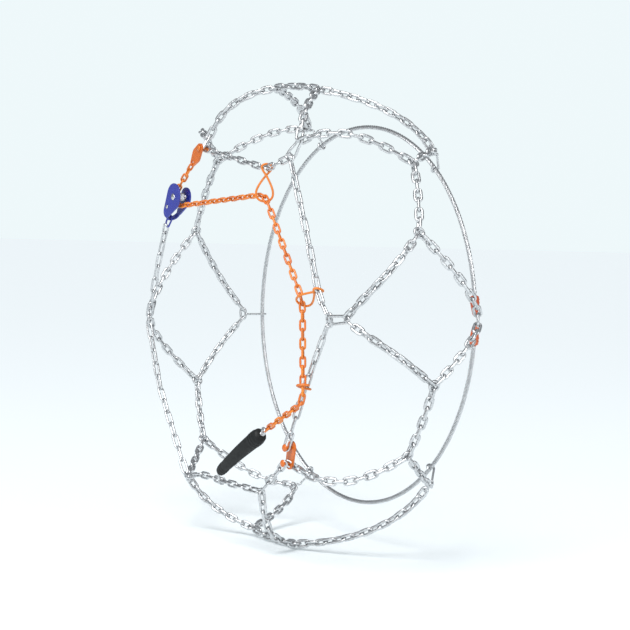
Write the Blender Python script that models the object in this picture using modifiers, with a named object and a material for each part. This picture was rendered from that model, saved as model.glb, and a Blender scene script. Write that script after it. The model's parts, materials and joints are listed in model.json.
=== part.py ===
"""Tire snow chains, in the shape they take on a wheel.

Frame: the wheel's axle is the Y axis and its centre is the origin. The side that faces away from the car
looks along -Y, and +Z is up. Lengths are in metres. Angles round the wheel are in degrees from +X to +Z, so
90 is the top. Pieces that repeat are named by their place on a clock seen from outside.
"""

from math import cos, degrees, pi, radians, sin, tau

import bmesh
import bpy
import numpy as np
from mathutils import Matrix, Vector

# The tyre that the chains are sized for.
TYRE_RADIUS = 0.330
TYRE_HALF_WIDTH = 0.1023
BULGE_RADIUS = 0.1916  # where the sidewall is widest
CROWN_POWER = 4.7  # how square the shoulder is, radially
SIDE_POWER = 3.0  # and sideways
FACE_Y = -0.1083  # plane of the outer side chain

# Chains: wire diameter, link pitch, outside width of a link.
TREAD = (0.0040, 0.0145, 0.0126)
SIDE = (0.0032, 0.0210, 0.0112)
ORANGE = (0.0030, 0.0127, 0.0098)
BLADE_SHARE = 0.8  # a link's solid blade is this share of its wire thick, which gives it the link's weight
BLADE_FLAT = (0.17, 0.83)  # a blade keeps its full width between these shares of its length
NECK_SHARE = 0.42  # half the width of a chain's ends and waists, as a share of its wire
LIFT = 0.0050  # the middle of a chain whose links lie at 45 degrees stands this far off the tyre
SETBACK = 0.0054  # where three chains meet, each one's end stops this far from the meeting point
CORNER = 0.0105  # a chain's turn starts this far from its corner
WAIST = 0.0050  # half the length over which a chain narrows to its wire where a ring holds it
GAP = 0.0003

# The net: a diamond's outer and inner corner, and its two corners on the tread, (angle, y).
# ccw is the tread corner on the side of larger angles, cw the other.
INNER_CORNER_RADIUS = 0.306
SIDE_LINK = (0.0050, 0.0018)  # a side link's half width, and its wire's radius
SIDE_LINK_CLEAR = (0.0012, 0.0028)  # it stops this far from the side chain's corner and from the net's
DIAMONDS = {
    11: {"outer": (112, 0.276), "inner": 114, "ccw": (136, -0.010), "cw": (94, -0.040)},
    1: {"outer": (59, 0.283), "inner": 50, "ccw": (77, -0.025), "cw": (41, 0.014)},
    3: {"outer": (2, 0.273), "inner": 2, "ccw": (22, -0.015), "cw": (-13, 0.005)},
    5: {"outer": None, "inner": -47, "ccw": (-31, -0.006), "cw": (-82, -0.026)},
    7: {"outer": (-122, 0.304), "inner": -116, "ccw": (-102, -0.030), "cw": (-140, -0.015)},
    9: {"outer": (-176, 0.300), "inner": -177, "ccw": (-158, 0.000), "cw": (-201, -0.008)},
}
CLOSURE_STRAND_END = (-50, 0.2585)  # the five o'clock diamond is open at the closure: one strand ends here
SPLIT_STRAND_END = (-72, 0.2600)  # and the other here

# Corners of the outer side chain, (x, z) in its plane.
SIDE_12 = (0.0750, 0.2095)
SIDE_1 = (0.1346, 0.2242)
SIDE_2 = (0.1905, 0.1020)
SIDE_3_ABOVE = (0.2170, 0.0375)
SIDE_3 = (0.2440, 0.0070)
SIDE_4 = (0.1790, -0.1055, -0.0980)
SIDE_5_END = (0.0806, -0.1083, -0.2450)
SIDE_6 = (-0.0200, -0.2460)
SIDE_7_ABOVE = (-0.0900, -0.2440)
SIDE_7 = (-0.1390, -0.2540)
SIDE_7_BELOW = (-0.1810, -0.1980)
SIDE_8 = (-0.2360, -0.1260)
SIDE_9 = (-0.2800, -0.0240)
SIDE_10 = (-0.2500, 0.0680)
SIDE_10_ABOVE = (-0.2330, 0.1080)
SIDE_END = (-0.2067, -0.1185, 0.1254)
HOOK_PLACE = (-0.0310, -0.1083, -0.2455)  # where the rubber tensioner's lower hook holds the side chain

# Tension chain: (x, z) of its corners from the closure to the rubber tensioner.
TENSION_12 = (0.0700, 0.1740)
TENSION_3 = (0.1765, 0.0290)
TENSION_4 = (0.2080, -0.1232, -0.1050)
TENSION_LAST = (0.0989, -0.1139, -0.1551)

# Guide eyes: (x, z) where each one holds the side chain and the tension chain, and its plane's normal.
EYES = {
    "12": ((0.0750, 0.2075), (0.0700, 0.1740), (0.85, -0.53, 0.05)),
    "03": ((0.2130, 0.0455), (0.1765, 0.0270), (0.35, -0.45, -0.8)),
    "04": ((0.1880, -0.0880), (0.1950, -0.0860), (0.45, -0.3, 0.85)),
}
# Each eye's shape: from the side chain's middle to where the wire crosses itself, half the widths of its
# small and large loops, and from the tension chain's middle to the wire's middle past it.
EYE_SHAPES = {
    "12": (0.0100, 0.0064, 0.0120, 0.0070),
    "03": (0.0085, 0.0058, 0.0104, 0.0048),
    "04": (0.0072, 0.0066, 0.0074, 0.0048),
}
EYE_WIRE = 0.0016
EYE_RISE = 0.0020  # each strand stands this far from the eye's plane where the two cross
EYE_REACH_SIDE = 0.0046  # from the side chain's middle to the middle of the wire round it

# Ratchet: a folded housing whose two cheeks stand on one axle, in line with the side chain.
RATCHET_AXLE = (-0.1640, 0.1712)
RATCHET_Y = -0.1185
RATCHET_LINE = 227  # direction from the axle to the housing's fold
CHEEK_APART = 0.0210
CHEEK = 0.0022
CHEEK_ROUND = 0.0205  # the front cheek's two radii
CHEEK_TAIL = 0.0100
REAR_ROUND = 0.0150  # and the rear cheek's
REAR_TAIL = 0.0056
CHEEK_LENGTH = 0.0300
FOLD_WIDTH = 0.0072
FOLD_REACH = 0.0040  # the fold's bend starts this far past the cheeks' far lobe
FOLD_LAP = 0.0080  # and its legs lap this far back over the cheeks
SKIN = 0.0001  # by which a joined piece stands proud, so that no two faces coincide
AXLE_RADIUS = 0.0032
AXLE_HEAD = (0.0050, 0.0014)
POCKET_RADIUS = 0.0072
POCKET_WIDTH = 0.0100
WRAP_RADIUS = 0.0136  # of the chain's middle round the pocket wheel
POCKET_DEPTH = 0.08  # a pocket's half depth, as a share of that radius
TEETH = 12
TOOTH_RADII = (0.0108, 0.0128)
TOOTH_SHARE = 0.85  # a tooth rises over this share of its pitch and drops over the rest
FIRST_TOOTH = -53.3  # angle at which the first tooth starts, so that the pawl's nose is in a gap
TOOTH_LOW = 0.0052  # the toothed rim's inner face, from the housing's middle plane
TOOTH_WIDTH = 0.0026
PAWL_PIVOT = (0.0238, -0.0036)
PAWL_EYE = 0.0042
PAWL_THICK = 0.0024
PAWL_PIN_RADIUS = 0.0016
PAWL_PIN_HEAD = (0.0030, 0.0012)
SPRING_RADIUS = 0.0030
SPRING_WIRE = 0.0004
SPRING_PITCH = 0.0012
SPRING_TURNS = 3
LINK_LENGTH = 0.0240
LINK_WIRE = 0.0015
PAWL_OUTLINE = [  # from the nose round to the tab, from its pivot; an arc of radius PAWL_EYE closes it
    (-0.0137, -0.0049),
    (-0.0162, -0.0050),
    (-0.0170, -0.0082),
    (-0.0180, -0.0180),
    (-0.0176, -0.0210),
    (-0.0142, -0.0214),
    (-0.0100, -0.0130),
]

# Closures: orange plates that carry headed studs, and the links hang on the studs.
STUD_RADIUS = 0.0021
STUD_HEAD = 0.0052
STUD_LENGTH = 0.0100
STUD_LEVEL = 0.66  # a chain hangs on a stud this share of the way up it
STUD_REACH = 0.0062  # and stops this far from the stud's middle
PIN_HEAD = 0.0014  # thickness of a stud's two heads
CLOSURE_THICK = 0.0030
CLOSURE_11 = (-0.1015, -0.1197, 0.2430)  # the plate's stud, which points at the tyre
CLOSURE_11_LINE = 225  # direction from that stud along the plate
CLOSURE_11_RADII = (0.0075, 0.0115, 0.0058)  # of the plate at its stud, at its widest and at its far end
CLOSURE_11_REACH = (0.0140, 0.0290)  # from the stud to those two places
CLOSURE_11_EYE = 0.0036  # radius of the hole that the tension chain's first link passes
CLOSURE_5 = (0.1620, -0.1102, -0.1720)  # the upper stud of the plate at five o'clock
CLOSURE_5_LINE = 260
CLOSURE_5_SIZE = (0.0095, 0.0088, 0.0220)  # the two ends' radii, and how far apart their middles are

# Rubber tensioner, (x, y, z) of its ends, and its radius there.
RUBBER_TOP = (0.0889, -0.1143, -0.1614)
RUBBER_BOTTOM = (-0.0210, -0.1190, -0.2310)
RUBBER_RADII = (0.0065, 0.0080, 0.0098, 0.0116, 0.0098)  # at its lower end, near it, and so on to its top
RUBBER_BOW = 0.0030  # its middle stands this far off the straight line, away from the tyre
HOOK_WIRE = 0.0018
TOP_HOOK_REACH = 0.0070  # from the rubber's top to the middle of the hook's ring
TOP_HOOK_RADIUS = 0.0048
END_HOOK_RADIUS = 0.0046

# Inner side: a cable hoop, open at three o'clock, and the hooks that hold the net to it.
HOOP_RADIUS = 0.283
HOOP_Y = 0.1045
CABLE_RADIUS = 0.0032
HOOP_ENDS = {"upper": 8.4, "lower": -5.2}  # the angles where the cable stops
SLEEVE_RADIUS = 0.0062
SLEEVE_LENGTH = 0.0260
INNER_HOOK_WIRE = 0.0016
INNER_HOOK_END = 0.3005
END_HOOK_TIP = 0.3000

NAME = "tire_snow_chains"
COLOURS = {
    "zinc": ((0.72, 0.73, 0.75), 0.32, 1.0),
    "orange_paint": ((0.85, 0.16, 0.02), 0.42, 0.0),
    "blue_paint": ((0.035, 0.05, 0.36), 0.38, 0.0),
    "red_paint": ((0.72, 0.07, 0.02), 0.42, 0.0),
    "black_rubber": ((0.012, 0.012, 0.013), 0.60, 0.0),
    "cable_steel": ((0.45, 0.46, 0.48), 0.45, 1.0),
}


# ---------------------------------------------------------------- scene


def clear_scene():
    for obj in list(bpy.data.objects):
        bpy.data.objects.remove(obj, do_unlink=True)


def collection(name, helper=False):
    made = bpy.data.collections.new(name)
    made.hide_render = helper
    bpy.context.scene.collection.children.link(made)
    return made


def material(name):
    colour, roughness, metallic = COLOURS[name]
    made = bpy.data.materials.new(name)
    made.use_nodes = True
    made.diffuse_color = (*colour, 1)
    shader = made.node_tree.nodes["Principled BSDF"]
    shader.inputs["Base Color"].default_value = (*colour, 1)
    shader.inputs["Roughness"].default_value = roughness
    shader.inputs["Metallic"].default_value = metallic
    return made


def add(name, data, finish, group=None):
    """Links a new object that shows data in the part's collection."""
    obj = bpy.data.objects.new(name, data)
    (group or PARTS).objects.link(obj)
    if finish:
        data.materials.append(MATERIALS[finish])
    return obj


def cutter(name, data):
    obj = add(name, data, None, CUTTERS)
    obj.hide_render = True
    obj.display_type = "WIRE"
    return obj


def mesh_from(name, build):
    """A mesh made by build(bm), with its faces turned outwards."""
    bm = bmesh.new()
    build(bm)
    bmesh.ops.recalc_face_normals(bm, faces=bm.faces)
    data = bpy.data.meshes.new(name)
    bm.to_mesh(data)
    bm.free()
    return data


def boolean(obj, other, operation):
    modifier = obj.modifiers.new(other.name, "BOOLEAN")
    modifier.operation = operation
    modifier.solver = "EXACT"
    modifier.object = other


def bevel(obj, width, segments=2):
    modifier = obj.modifiers.new("edges", "BEVEL")
    modifier.width = width
    modifier.segments = segments
    modifier.limit_method = "ANGLE"
    modifier.angle_limit = radians(40)


# ---------------------------------------------------------------- the tyre's surface


def tyre_section():
    """The tyre's outside from bulge to bulge as (y, radius), and the distance along it from the crown."""
    angle = np.linspace(0.0, pi, 721)
    y = -np.sign(np.cos(angle)) * np.abs(np.cos(angle)) ** (2 / SIDE_POWER) * TYRE_HALF_WIDTH
    radius = BULGE_RADIUS + (TYRE_RADIUS - BULGE_RADIUS) * np.sin(angle) ** (2 / CROWN_POWER)
    points = np.stack([y, radius], axis=1)
    steps = np.linalg.norm(np.diff(points, axis=0), axis=1)
    along = np.concatenate([[0.0], np.cumsum(steps)])
    return points, along - along[len(along) // 2]


SECTION, SECTION_ALONG = tyre_section()


def crown(angle, y):
    """A place on the tread as (angle, distance along the section)."""
    return angle, float(np.interp(y, SECTION[:, 0], SECTION_ALONG))


def wall(angle, radius, side=-1):
    """A place on a sidewall as (angle, distance along the section); side is -1 outside and 1 inside."""
    half = len(SECTION) // 2
    if side < 0:
        return angle, float(np.interp(radius, SECTION[: half + 1, 1], SECTION_ALONG[: half + 1]))
    return angle, float(np.interp(-radius, -SECTION[half:, 1], SECTION_ALONG[half:]))


def section_at(along):
    return np.array([np.interp(along, SECTION_ALONG, SECTION[:, i]) for i in (0, 1)])


def on_tyre(angle, along, lift=LIFT):
    """The point lift above the tyre's surface there, and the surface's normal."""
    y, radius = section_at(along)
    tangent = section_at(along + 0.002) - section_at(along - 0.002)
    tangent /= np.linalg.norm(tangent)
    normal = np.array([-tangent[1], tangent[0]])
    y, radius = y + lift * normal[0], radius + lift * normal[1]
    turn = radians(angle)
    outward = np.array([cos(turn), 0.0, sin(turn)])
    point = outward * radius + np.array([0.0, y, 0.0])
    return point, outward * normal[1] + np.array([0.0, normal[0], 0.0])


def leg_on_tyre(start, end, count=60):
    """Points and normals of a chain pulled straight over the tyre from start to end."""
    start, end = np.array(start), np.array(end)
    pairs = [on_tyre(*(start + (end - start) * t)) for t in np.linspace(0, 1, count)]
    return np.array([p for p, _ in pairs]), np.array([n for _, n in pairs])


def leg_on_face(corners, y=FACE_Y, count=30):
    """Points and normals of a chain along straight stretches between corners (x, z) or (x, y, z)."""
    knots = [np.array(c if len(c) == 3 else (c[0], y, c[1])) for c in corners]
    shares = np.linspace(0, 1, count, endpoint=False)
    points = [a + (b - a) * t for a, b in zip(knots, knots[1:]) for t in shares]
    points.append(knots[-1])
    return np.array(points), np.tile([0.0, -1.0, 0.0], (len(points), 1))


# ---------------------------------------------------------------- chains


def distance_along(points):
    return np.concatenate([[0.0], np.cumsum(np.linalg.norm(np.diff(points, axis=0), axis=1))])


def round_corner(first, second, reach=CORNER):
    """Joins two legs that share a corner with a smooth turn that starts reach away from it."""
    (points_a, normals_a), (points_b, normals_b) = first, second
    keep_a = distance_along(points_a[::-1])[::-1] > reach
    keep_b = distance_along(points_b) > reach
    start, end, corner = points_a[keep_a][-1], points_b[keep_b][0], points_a[-1]
    t = np.linspace(0, 1, 14)[1:-1, None]
    turn = (1 - t) ** 2 * start + 2 * t * (1 - t) * corner + t**2 * end
    normals = np.tile(normals_a[-1], (len(turn), 1))
    return (
        np.concatenate([points_a[keep_a], turn, points_b[keep_b]]),
        np.concatenate([normals_a[keep_a], normals, normals_b[keep_b]]),
    )


def smooth_path(corners, y=FACE_Y, reach=CORNER):
    """A chain path through corners in the face plane, each one rounded."""
    path = leg_on_face(corners[:2], y)
    for a, b in zip(corners[1:], corners[2:]):
        path = round_corner(path, leg_on_face([a, b], y), reach)
    return path


def chain(name, path, size, finish, trims=(SETBACK, SETBACK), waists=()):
    """One run of chain as a loft of blades, one a link, alternately at 45 and -45 degrees to the surface.

    trims are the lengths left off its ends. waists are distances along the path where the run narrows to
    its wire, so that a ring can hold it.
    """
    wire, pitch, width = size
    points, normals = path
    along = distance_along(points)
    start, end = trims[0], along[-1] - trims[1]
    count = max(1, round((end - start) / pitch))
    step = (end - start) / count
    thin, half = wire * BLADE_SHARE / 2, width / 2
    neck = (wire * NECK_SHARE, wire * NECK_SHARE)
    rings = [(start, *neck)]
    for link in range(count):
        sizes = (half, thin) if link % 2 == 0 else (thin, half)
        rings += [(start + (link + share) * step, *sizes) for share in BLADE_FLAT]
    rings.append((end, *neck))
    for waist in waists:
        rings = [ring for ring in rings if abs(ring[0] - waist) > WAIST + 4 * GAP]
        rings += [(waist + side, *neck) for side in (-WAIST, WAIST)]
    rings.sort()

    def at(distance, values):
        return np.array([np.interp(distance, along, values[:, i]) for i in range(3)])

    def build(bm):
        loops = []
        for distance, a, b in rings:
            centre = at(distance, points)
            tangent = at(distance + 0.003, points) - at(distance - 0.003, points)
            tangent /= np.linalg.norm(tangent)
            normal = at(distance, normals)
            normal -= tangent * (normal @ tangent)
            normal /= np.linalg.norm(normal)
            across = np.cross(tangent, normal)
            u, v = (normal + across) / 2**0.5, (normal - across) / 2**0.5
            corners = [(1, 1), (-1, 1), (-1, -1), (1, -1)]
            loops.append([bm.verts.new(centre + u * a * i + v * b * j) for i, j in corners])
        bm.faces.new(loops[0])
        bm.faces.new(reversed(loops[-1]))
        for low, high in zip(loops, loops[1:]):
            for i in range(4):
                bm.faces.new((low[i], high[i], high[(i + 1) % 4], low[(i + 1) % 4]))
        bmesh.ops.triangulate(bm, faces=bm.faces)

    return add(name, mesh_from(name, build), finish)


# ---------------------------------------------------------------- wires and plates


def wire(name, points, radius, finish, closed=False, sides=2, radii=None):
    """A round wire along points."""
    curve = bpy.data.curves.new(name, "CURVE")
    curve.dimensions = "3D"
    curve.bevel_depth = radius
    curve.bevel_resolution = sides
    curve.use_fill_caps = True
    spline = curve.splines.new("POLY")
    spline.points.add(len(points) - 1)
    for i, (spot, point) in enumerate(zip(spline.points, points)):
        spot.co = (*point, 1)
        if radii is not None:
            spot.radius = radii[i]
    spline.use_cyclic_u = closed
    return add(name, curve, finish)


def arc(centre, radius, start, end, count):
    """Points (a, b) of an arc, angles in degrees."""
    turns = np.radians(np.linspace(start, end, count))
    return [(centre[0] + radius * cos(t), centre[1] + radius * sin(t)) for t in turns]


def face_frame(origin, direction):
    """A place at origin with local x along direction in the face plane and local z away from the tyre."""
    turn = radians(direction)
    x, z = Vector((cos(turn), 0, sin(turn))), Vector((0, -1, 0))
    frame = Matrix((x, z.cross(x), z)).transposed().to_4x4()
    frame.translation = origin
    return frame


def prism(name, outline, low, high):
    """A mesh with the outline (x, y) from z = low to z = high: a filled flat curve made solid."""
    curve = bpy.data.curves.new(name, "CURVE")
    curve.dimensions = "2D"
    curve.fill_mode = "BOTH"
    curve.extrude = (high - low) / 2
    spline = curve.splines.new("POLY")
    spline.points.add(len(outline) - 1)
    for spot, (x, y) in zip(spline.points, outline):
        spot.co = (x, y, 0, 1)
    spline.use_cyclic_u = True
    flat = add(f"{name}_outline", curve, None, CUTTERS)
    filled = bpy.data.meshes.new_from_object(flat.evaluated_get(bpy.context.evaluated_depsgraph_get()))
    bpy.data.objects.remove(flat)

    def build(bm):
        bm.from_mesh(filled)
        bmesh.ops.remove_doubles(bm, verts=bm.verts, dist=0.00001)
        bmesh.ops.translate(bm, verts=bm.verts, vec=(0, 0, (low + high) / 2))

    return mesh_from(name, build)


def plate(name, outline, low, high, finish, place, holes=(), edge=0.0004):
    """A flat plate with round holes (x, y, radius)."""
    obj = add(name, prism(name, outline, low, high), finish)
    obj.matrix_world = place
    bevel(obj, edge, 1)
    for i, (x, y, radius) in enumerate(holes):
        drill(obj, f"{name}_hole_{i}", radius, place @ Matrix.Translation((x, y, 0)))
    return obj


def drill(obj, name, radius, place, depth=0.080):
    tool = cutter(name, cylinder_mesh(name, radius, depth))
    tool.matrix_world = place
    boolean(obj, tool, "DIFFERENCE")


def join(obj, name, data, place):
    """Unites obj with the mesh data, which stands at place."""
    helper = cutter(name, data)
    helper.matrix_world = place
    boolean(obj, helper, "UNION")


def cylinder_mesh(name, radius, depth, sides=24):
    def build(bm):
        size = {"radius1": radius, "radius2": radius, "depth": depth}
        bmesh.ops.create_cone(bm, cap_ends=True, segments=sides, **size)

    return mesh_from(name, build)


def turned(name, profile, finish, place, steps=24):
    """A turned piece about local Z from an outer profile (radius, z) that runs top to bottom."""
    data = bpy.data.meshes.new(name)
    data.from_pydata([(r, 0, z) for r, z in profile], [(i, i + 1) for i in range(len(profile) - 1)], [])
    obj = add(name, data, finish)
    obj.matrix_world = place
    modifier = obj.modifiers.new("turn", "SCREW")
    modifier.axis = "Z"
    modifier.steps = modifier.render_steps = steps
    modifier.use_merge_vertices = True
    modifier.merge_threshold = 0.00001
    modifier.use_smooth_shade = True
    return obj


def leaf_outline(radii, reach):
    """The outline of a plate that is round at both ends, and round and widest in between."""
    first, middle, last = radii
    turn = degrees(np.arccos((first - middle) / reach[0]))
    far_turn = degrees(np.arccos((middle - last) / (reach[1] - reach[0])))
    centre = (reach[0], 0)
    outline = arc((0, 0), first, turn, 360 - turn, 12) + arc(centre, middle, -turn, -far_turn, 8)
    return outline + arc((reach[1], 0), last, -far_turn, far_turn, 10) + arc(centre, middle, far_turn, turn, 8)


def lobe_outline(big, small, length):
    """A round of radius big at the origin and one of radius small at (length, 0), with their tangents."""
    lean = degrees(np.arccos((big - small) / length))
    return arc((0, 0), big, lean, 360 - lean, 22) + arc((length, 0), small, -lean, lean, 12)


# ---------------------------------------------------------------- pieces


def make_net():
    """The tread chains: each diamond's outer and inner corners, and the runs between the diamonds."""
    for hour, spot in DIAMONDS.items():
        ccw, cw = crown(*spot["ccw"]), crown(*spot["cw"])
        inner = wall(spot["inner"], INNER_CORNER_RADIUS, 1)
        if spot["outer"]:
            outer = wall(*spot["outer"])
            path = round_corner(leg_on_tyre(ccw, outer), leg_on_tyre(outer, cw))
            chain(f"outer_v_{hour:02}", path, TREAD, "zinc")
        else:
            path = leg_on_tyre(ccw, wall(*CLOSURE_STRAND_END))
            chain("outer_run_closure", path, TREAD, "zinc", (SETBACK, 0.0))
            path = leg_on_tyre(cw, wall(*SPLIT_STRAND_END))
            chain("outer_run_split", path, TREAD, "zinc")
        path = round_corner(leg_on_tyre(ccw, inner), leg_on_tyre(inner, cw))
        chain(f"inner_v_{hour:02}", path, TREAD, "zinc")
    hours = list(DIAMONDS)
    for hour, following in zip(hours, hours[1:] + hours[:1]):
        start, end = crown(*DIAMONDS[hour]["cw"]), crown(*DIAMONDS[following]["ccw"])
        if end[0] > start[0]:
            end = (end[0] - 360, end[1])
        chain(f"tread_run_{(hour + 1) % 12 or 12:02}", leg_on_tyre(start, end), TREAD, "zinc")


def nearest(path, spot):
    """Where the path passes nearest to spot: the distance along it, and the point."""
    points = path[0]
    at = int(np.argmin(np.linalg.norm(points - np.array(spot), axis=1)))
    return distance_along(points)[at], points[at]


def on_face(spot):
    return np.array((spot[0], FACE_Y, spot[1]))


def stud_level(closure, line=0.0, distance=0.0, side=-1):
    """Where a link hangs on a closure's stud, which is distance along the plate from the first one.

    side is -1 on a stud that points away from the tyre, and 1 on one that points at it.
    """
    x, y, z = closure
    turn = radians(line)
    level = y + side * (CLOSURE_THICK / 2 + STUD_LENGTH * STUD_LEVEL)
    return x + distance * cos(turn), level, z + distance * sin(turn)


def make_side_chain():
    """The outer side chain from the closure at eleven o'clock round to the ratchet, and its guide eyes."""
    upper = smooth_path([stud_level(CLOSURE_11, side=1), SIDE_12, SIDE_1])
    right = smooth_path([SIDE_1, SIDE_2, SIDE_3_ABOVE, SIDE_3])
    lower = smooth_path([SIDE_3, SIDE_4, stud_level(CLOSURE_5)])
    below = smooth_path([SIDE_5_END, SIDE_6, SIDE_7_ABOVE, SIDE_7])
    tension = tension_path()
    waists, tension_waists = {}, []
    for (hour, (side_spot, tension_spot, lean)), path in zip(EYES.items(), (upper, right, lower)):
        waist, ring = nearest(path, on_face(side_spot))
        held, chain_ring = nearest(tension, on_face(tension_spot))
        waists[hour] = [waist]
        tension_waists.append(held)
        guide_eye(hour, ring, chain_ring, np.array(lean))
    chain("side_run_12", upper, SIDE, "zinc", (STUD_REACH, SETBACK), waists["12"])
    chain("side_run_02", right, SIDE, "zinc", waists=waists["03"])
    chain("side_run_04", lower, SIDE, "zinc", (SETBACK, STUD_REACH), waists["04"])
    low_stud = stud_level(CLOSURE_5, CLOSURE_5_LINE, CLOSURE_5_SIZE[2])
    chain("side_run_05", smooth_path([low_stud, SIDE_5_END]), SIDE, "zinc", (STUD_REACH, SETBACK))
    chain("side_run_06", below, SIDE, "zinc", waists=[nearest(below, HOOK_PLACE)[0]])
    chain("side_run_08", smooth_path([SIDE_7, SIDE_7_BELOW, SIDE_8, SIDE_9]), SIDE, "zinc")
    path = smooth_path([SIDE_9, SIDE_10, SIDE_10_ABOVE, SIDE_END])
    chain("side_run_10", path, SIDE, "zinc", (SETBACK, 0.0005))
    chain("tension_chain", tension, ORANGE, "orange_paint", (0.0, 0.0045), tension_waists)


def make_side_links():
    """The link at each outer corner of the net that ties it to the side chain."""
    for hour, spot in {1: SIDE_1, 3: SIDE_3, 7: SIDE_7, 9: SIDE_9}.items():
        corner = on_tyre(*wall(*DIAMONDS[hour]["outer"]))[0]
        start = on_face(spot)
        along = (corner - start) / np.linalg.norm(corner - start)
        near, far = SIDE_LINK_CLEAR
        ring_link(f"side_link_{hour:02}", start + along * near, corner - along * far, *SIDE_LINK, "zinc")


def ring_link(name, start, end, half_width, radius, finish):
    """A closed round-ended link of wire that fits between start and end, flat to the wheel's side."""
    along = (end - start) / np.linalg.norm(end - start)
    across = np.cross((0.0, -1.0, 0.0), along)
    across /= np.linalg.norm(across)
    bend = half_width - radius
    first, last = start + along * half_width, end - along * half_width
    turns = [(last, t) for t in np.linspace(-90, 90, 9)] + [(first, t) for t in np.linspace(90, 270, 9)]
    points = [c + along * bend * cos(radians(t)) + across * bend * sin(radians(t)) for c, t in turns]
    wire(name, points, radius, finish, closed=True, sides=1)


def closure_tip():
    """Just past the far end of the closure plate at eleven o'clock, where the tension chain starts."""
    x, y, z = CLOSURE_11
    reach = CLOSURE_11_REACH[1] + CLOSURE_11_RADII[2] + 2 * GAP
    turn = radians(CLOSURE_11_LINE)
    return x + reach * cos(turn), y, z + reach * sin(turn)


def wrap_path():
    """The tension chain's path from that closure round the pocket wheel to its first guide eye."""
    first = closure_tip()
    axle = np.array(RATCHET_AXLE)
    before, after = np.array((first[0], first[2])) - axle, np.array(TENSION_12) - axle
    start = degrees(np.arctan2(before[1], before[0]) + np.arccos(WRAP_RADIUS / np.linalg.norm(before)))
    end = 360 + degrees(np.arctan2(after[1], after[0]) - np.arccos(WRAP_RADIUS / np.linalg.norm(after)))
    turn = [(x, RATCHET_Y, z) for x, z in arc(RATCHET_AXLE, WRAP_RADIUS, start, end, 16)]
    return leg_on_face([first, *turn, TENSION_12], count=16)


def tension_path():
    path = wrap_path()
    corners = [TENSION_12, TENSION_3, TENSION_4, TENSION_LAST]
    for a, b in zip(corners, corners[1:]):
        path = round_corner(path, leg_on_face([a, b]))
    return path


def guide_eye(hour, side_point, tension_point, lean):
    """A figure-eight wire: its small loop holds the side chain and its large one the tension chain."""
    cross, small_width, large_width, reach = EYE_SHAPES[hour]
    axis = tension_point - side_point
    span = np.linalg.norm(axis)
    axis /= span
    normal = lean - axis * (lean @ axis)
    normal /= np.linalg.norm(normal)
    across = np.cross(normal, axis)
    crossing = side_point + axis * cross
    small = (cross + EYE_REACH_SIDE, small_width)
    large = (span - cross + reach, large_width)
    points = []
    for turn in np.linspace(0, tau, 44, endpoint=False):
        length, width = large if sin(turn) > 0 else small
        spread = width * sin(2 * turn)
        rise = EYE_RISE * cos(turn)
        points.append(crossing + axis * length * sin(turn) + across * spread + normal * rise)
    wire(f"guide_eye_{hour}", points, EYE_WIRE, "orange_paint", closed=True, sides=1)


def headed_pin(name, shaft, head, low, high, finish, place, thick=PIN_HEAD):
    """A pin whose shaft spans local z from low to high, with a head outside each end."""
    profile = [(0, high + thick), (head, high + thick), (head, high), (shaft, high)]
    profile += [(shaft, low), (head, low), (head, low - thick), (0, low - thick)]
    turned(name, profile, finish, place)


def make_closures():
    """The plate that ends the tension chain at eleven o'clock, and the one that closes the net at five."""
    half = CLOSURE_THICK / 2
    hole = STUD_RADIUS + GAP
    place = face_frame(CLOSURE_11, CLOSURE_11_LINE)
    holes = [(0, 0, hole), (CLOSURE_11_REACH[1], 0, CLOSURE_11_EYE)]
    outline = leaf_outline(CLOSURE_11_RADII, CLOSURE_11_REACH)
    plate("closure_plate_11", outline, -half, half, "orange_paint", place, holes)
    ends = (-half - STUD_LENGTH, half + GAP)
    headed_pin("closure_stud_11", STUD_RADIUS, STUD_HEAD, *ends, "orange_paint", place)
    ends = (-half - GAP, half + STUD_LENGTH)
    big, small, length = CLOSURE_5_SIZE
    place = face_frame(CLOSURE_5, CLOSURE_5_LINE)
    holes = [(0, 0, hole), (length, 0, hole)]
    plate("closure_plate_05", lobe_outline(big, small, length), -half, half, "orange_paint", place, holes)
    headed_pin("closure_stud_05_upper", STUD_RADIUS, STUD_HEAD, *ends, "orange_paint", place)
    place = place @ Matrix.Translation((length, 0, 0))
    headed_pin("closure_stud_05_lower", STUD_RADIUS, STUD_HEAD, *ends, "orange_paint", place)


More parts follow.
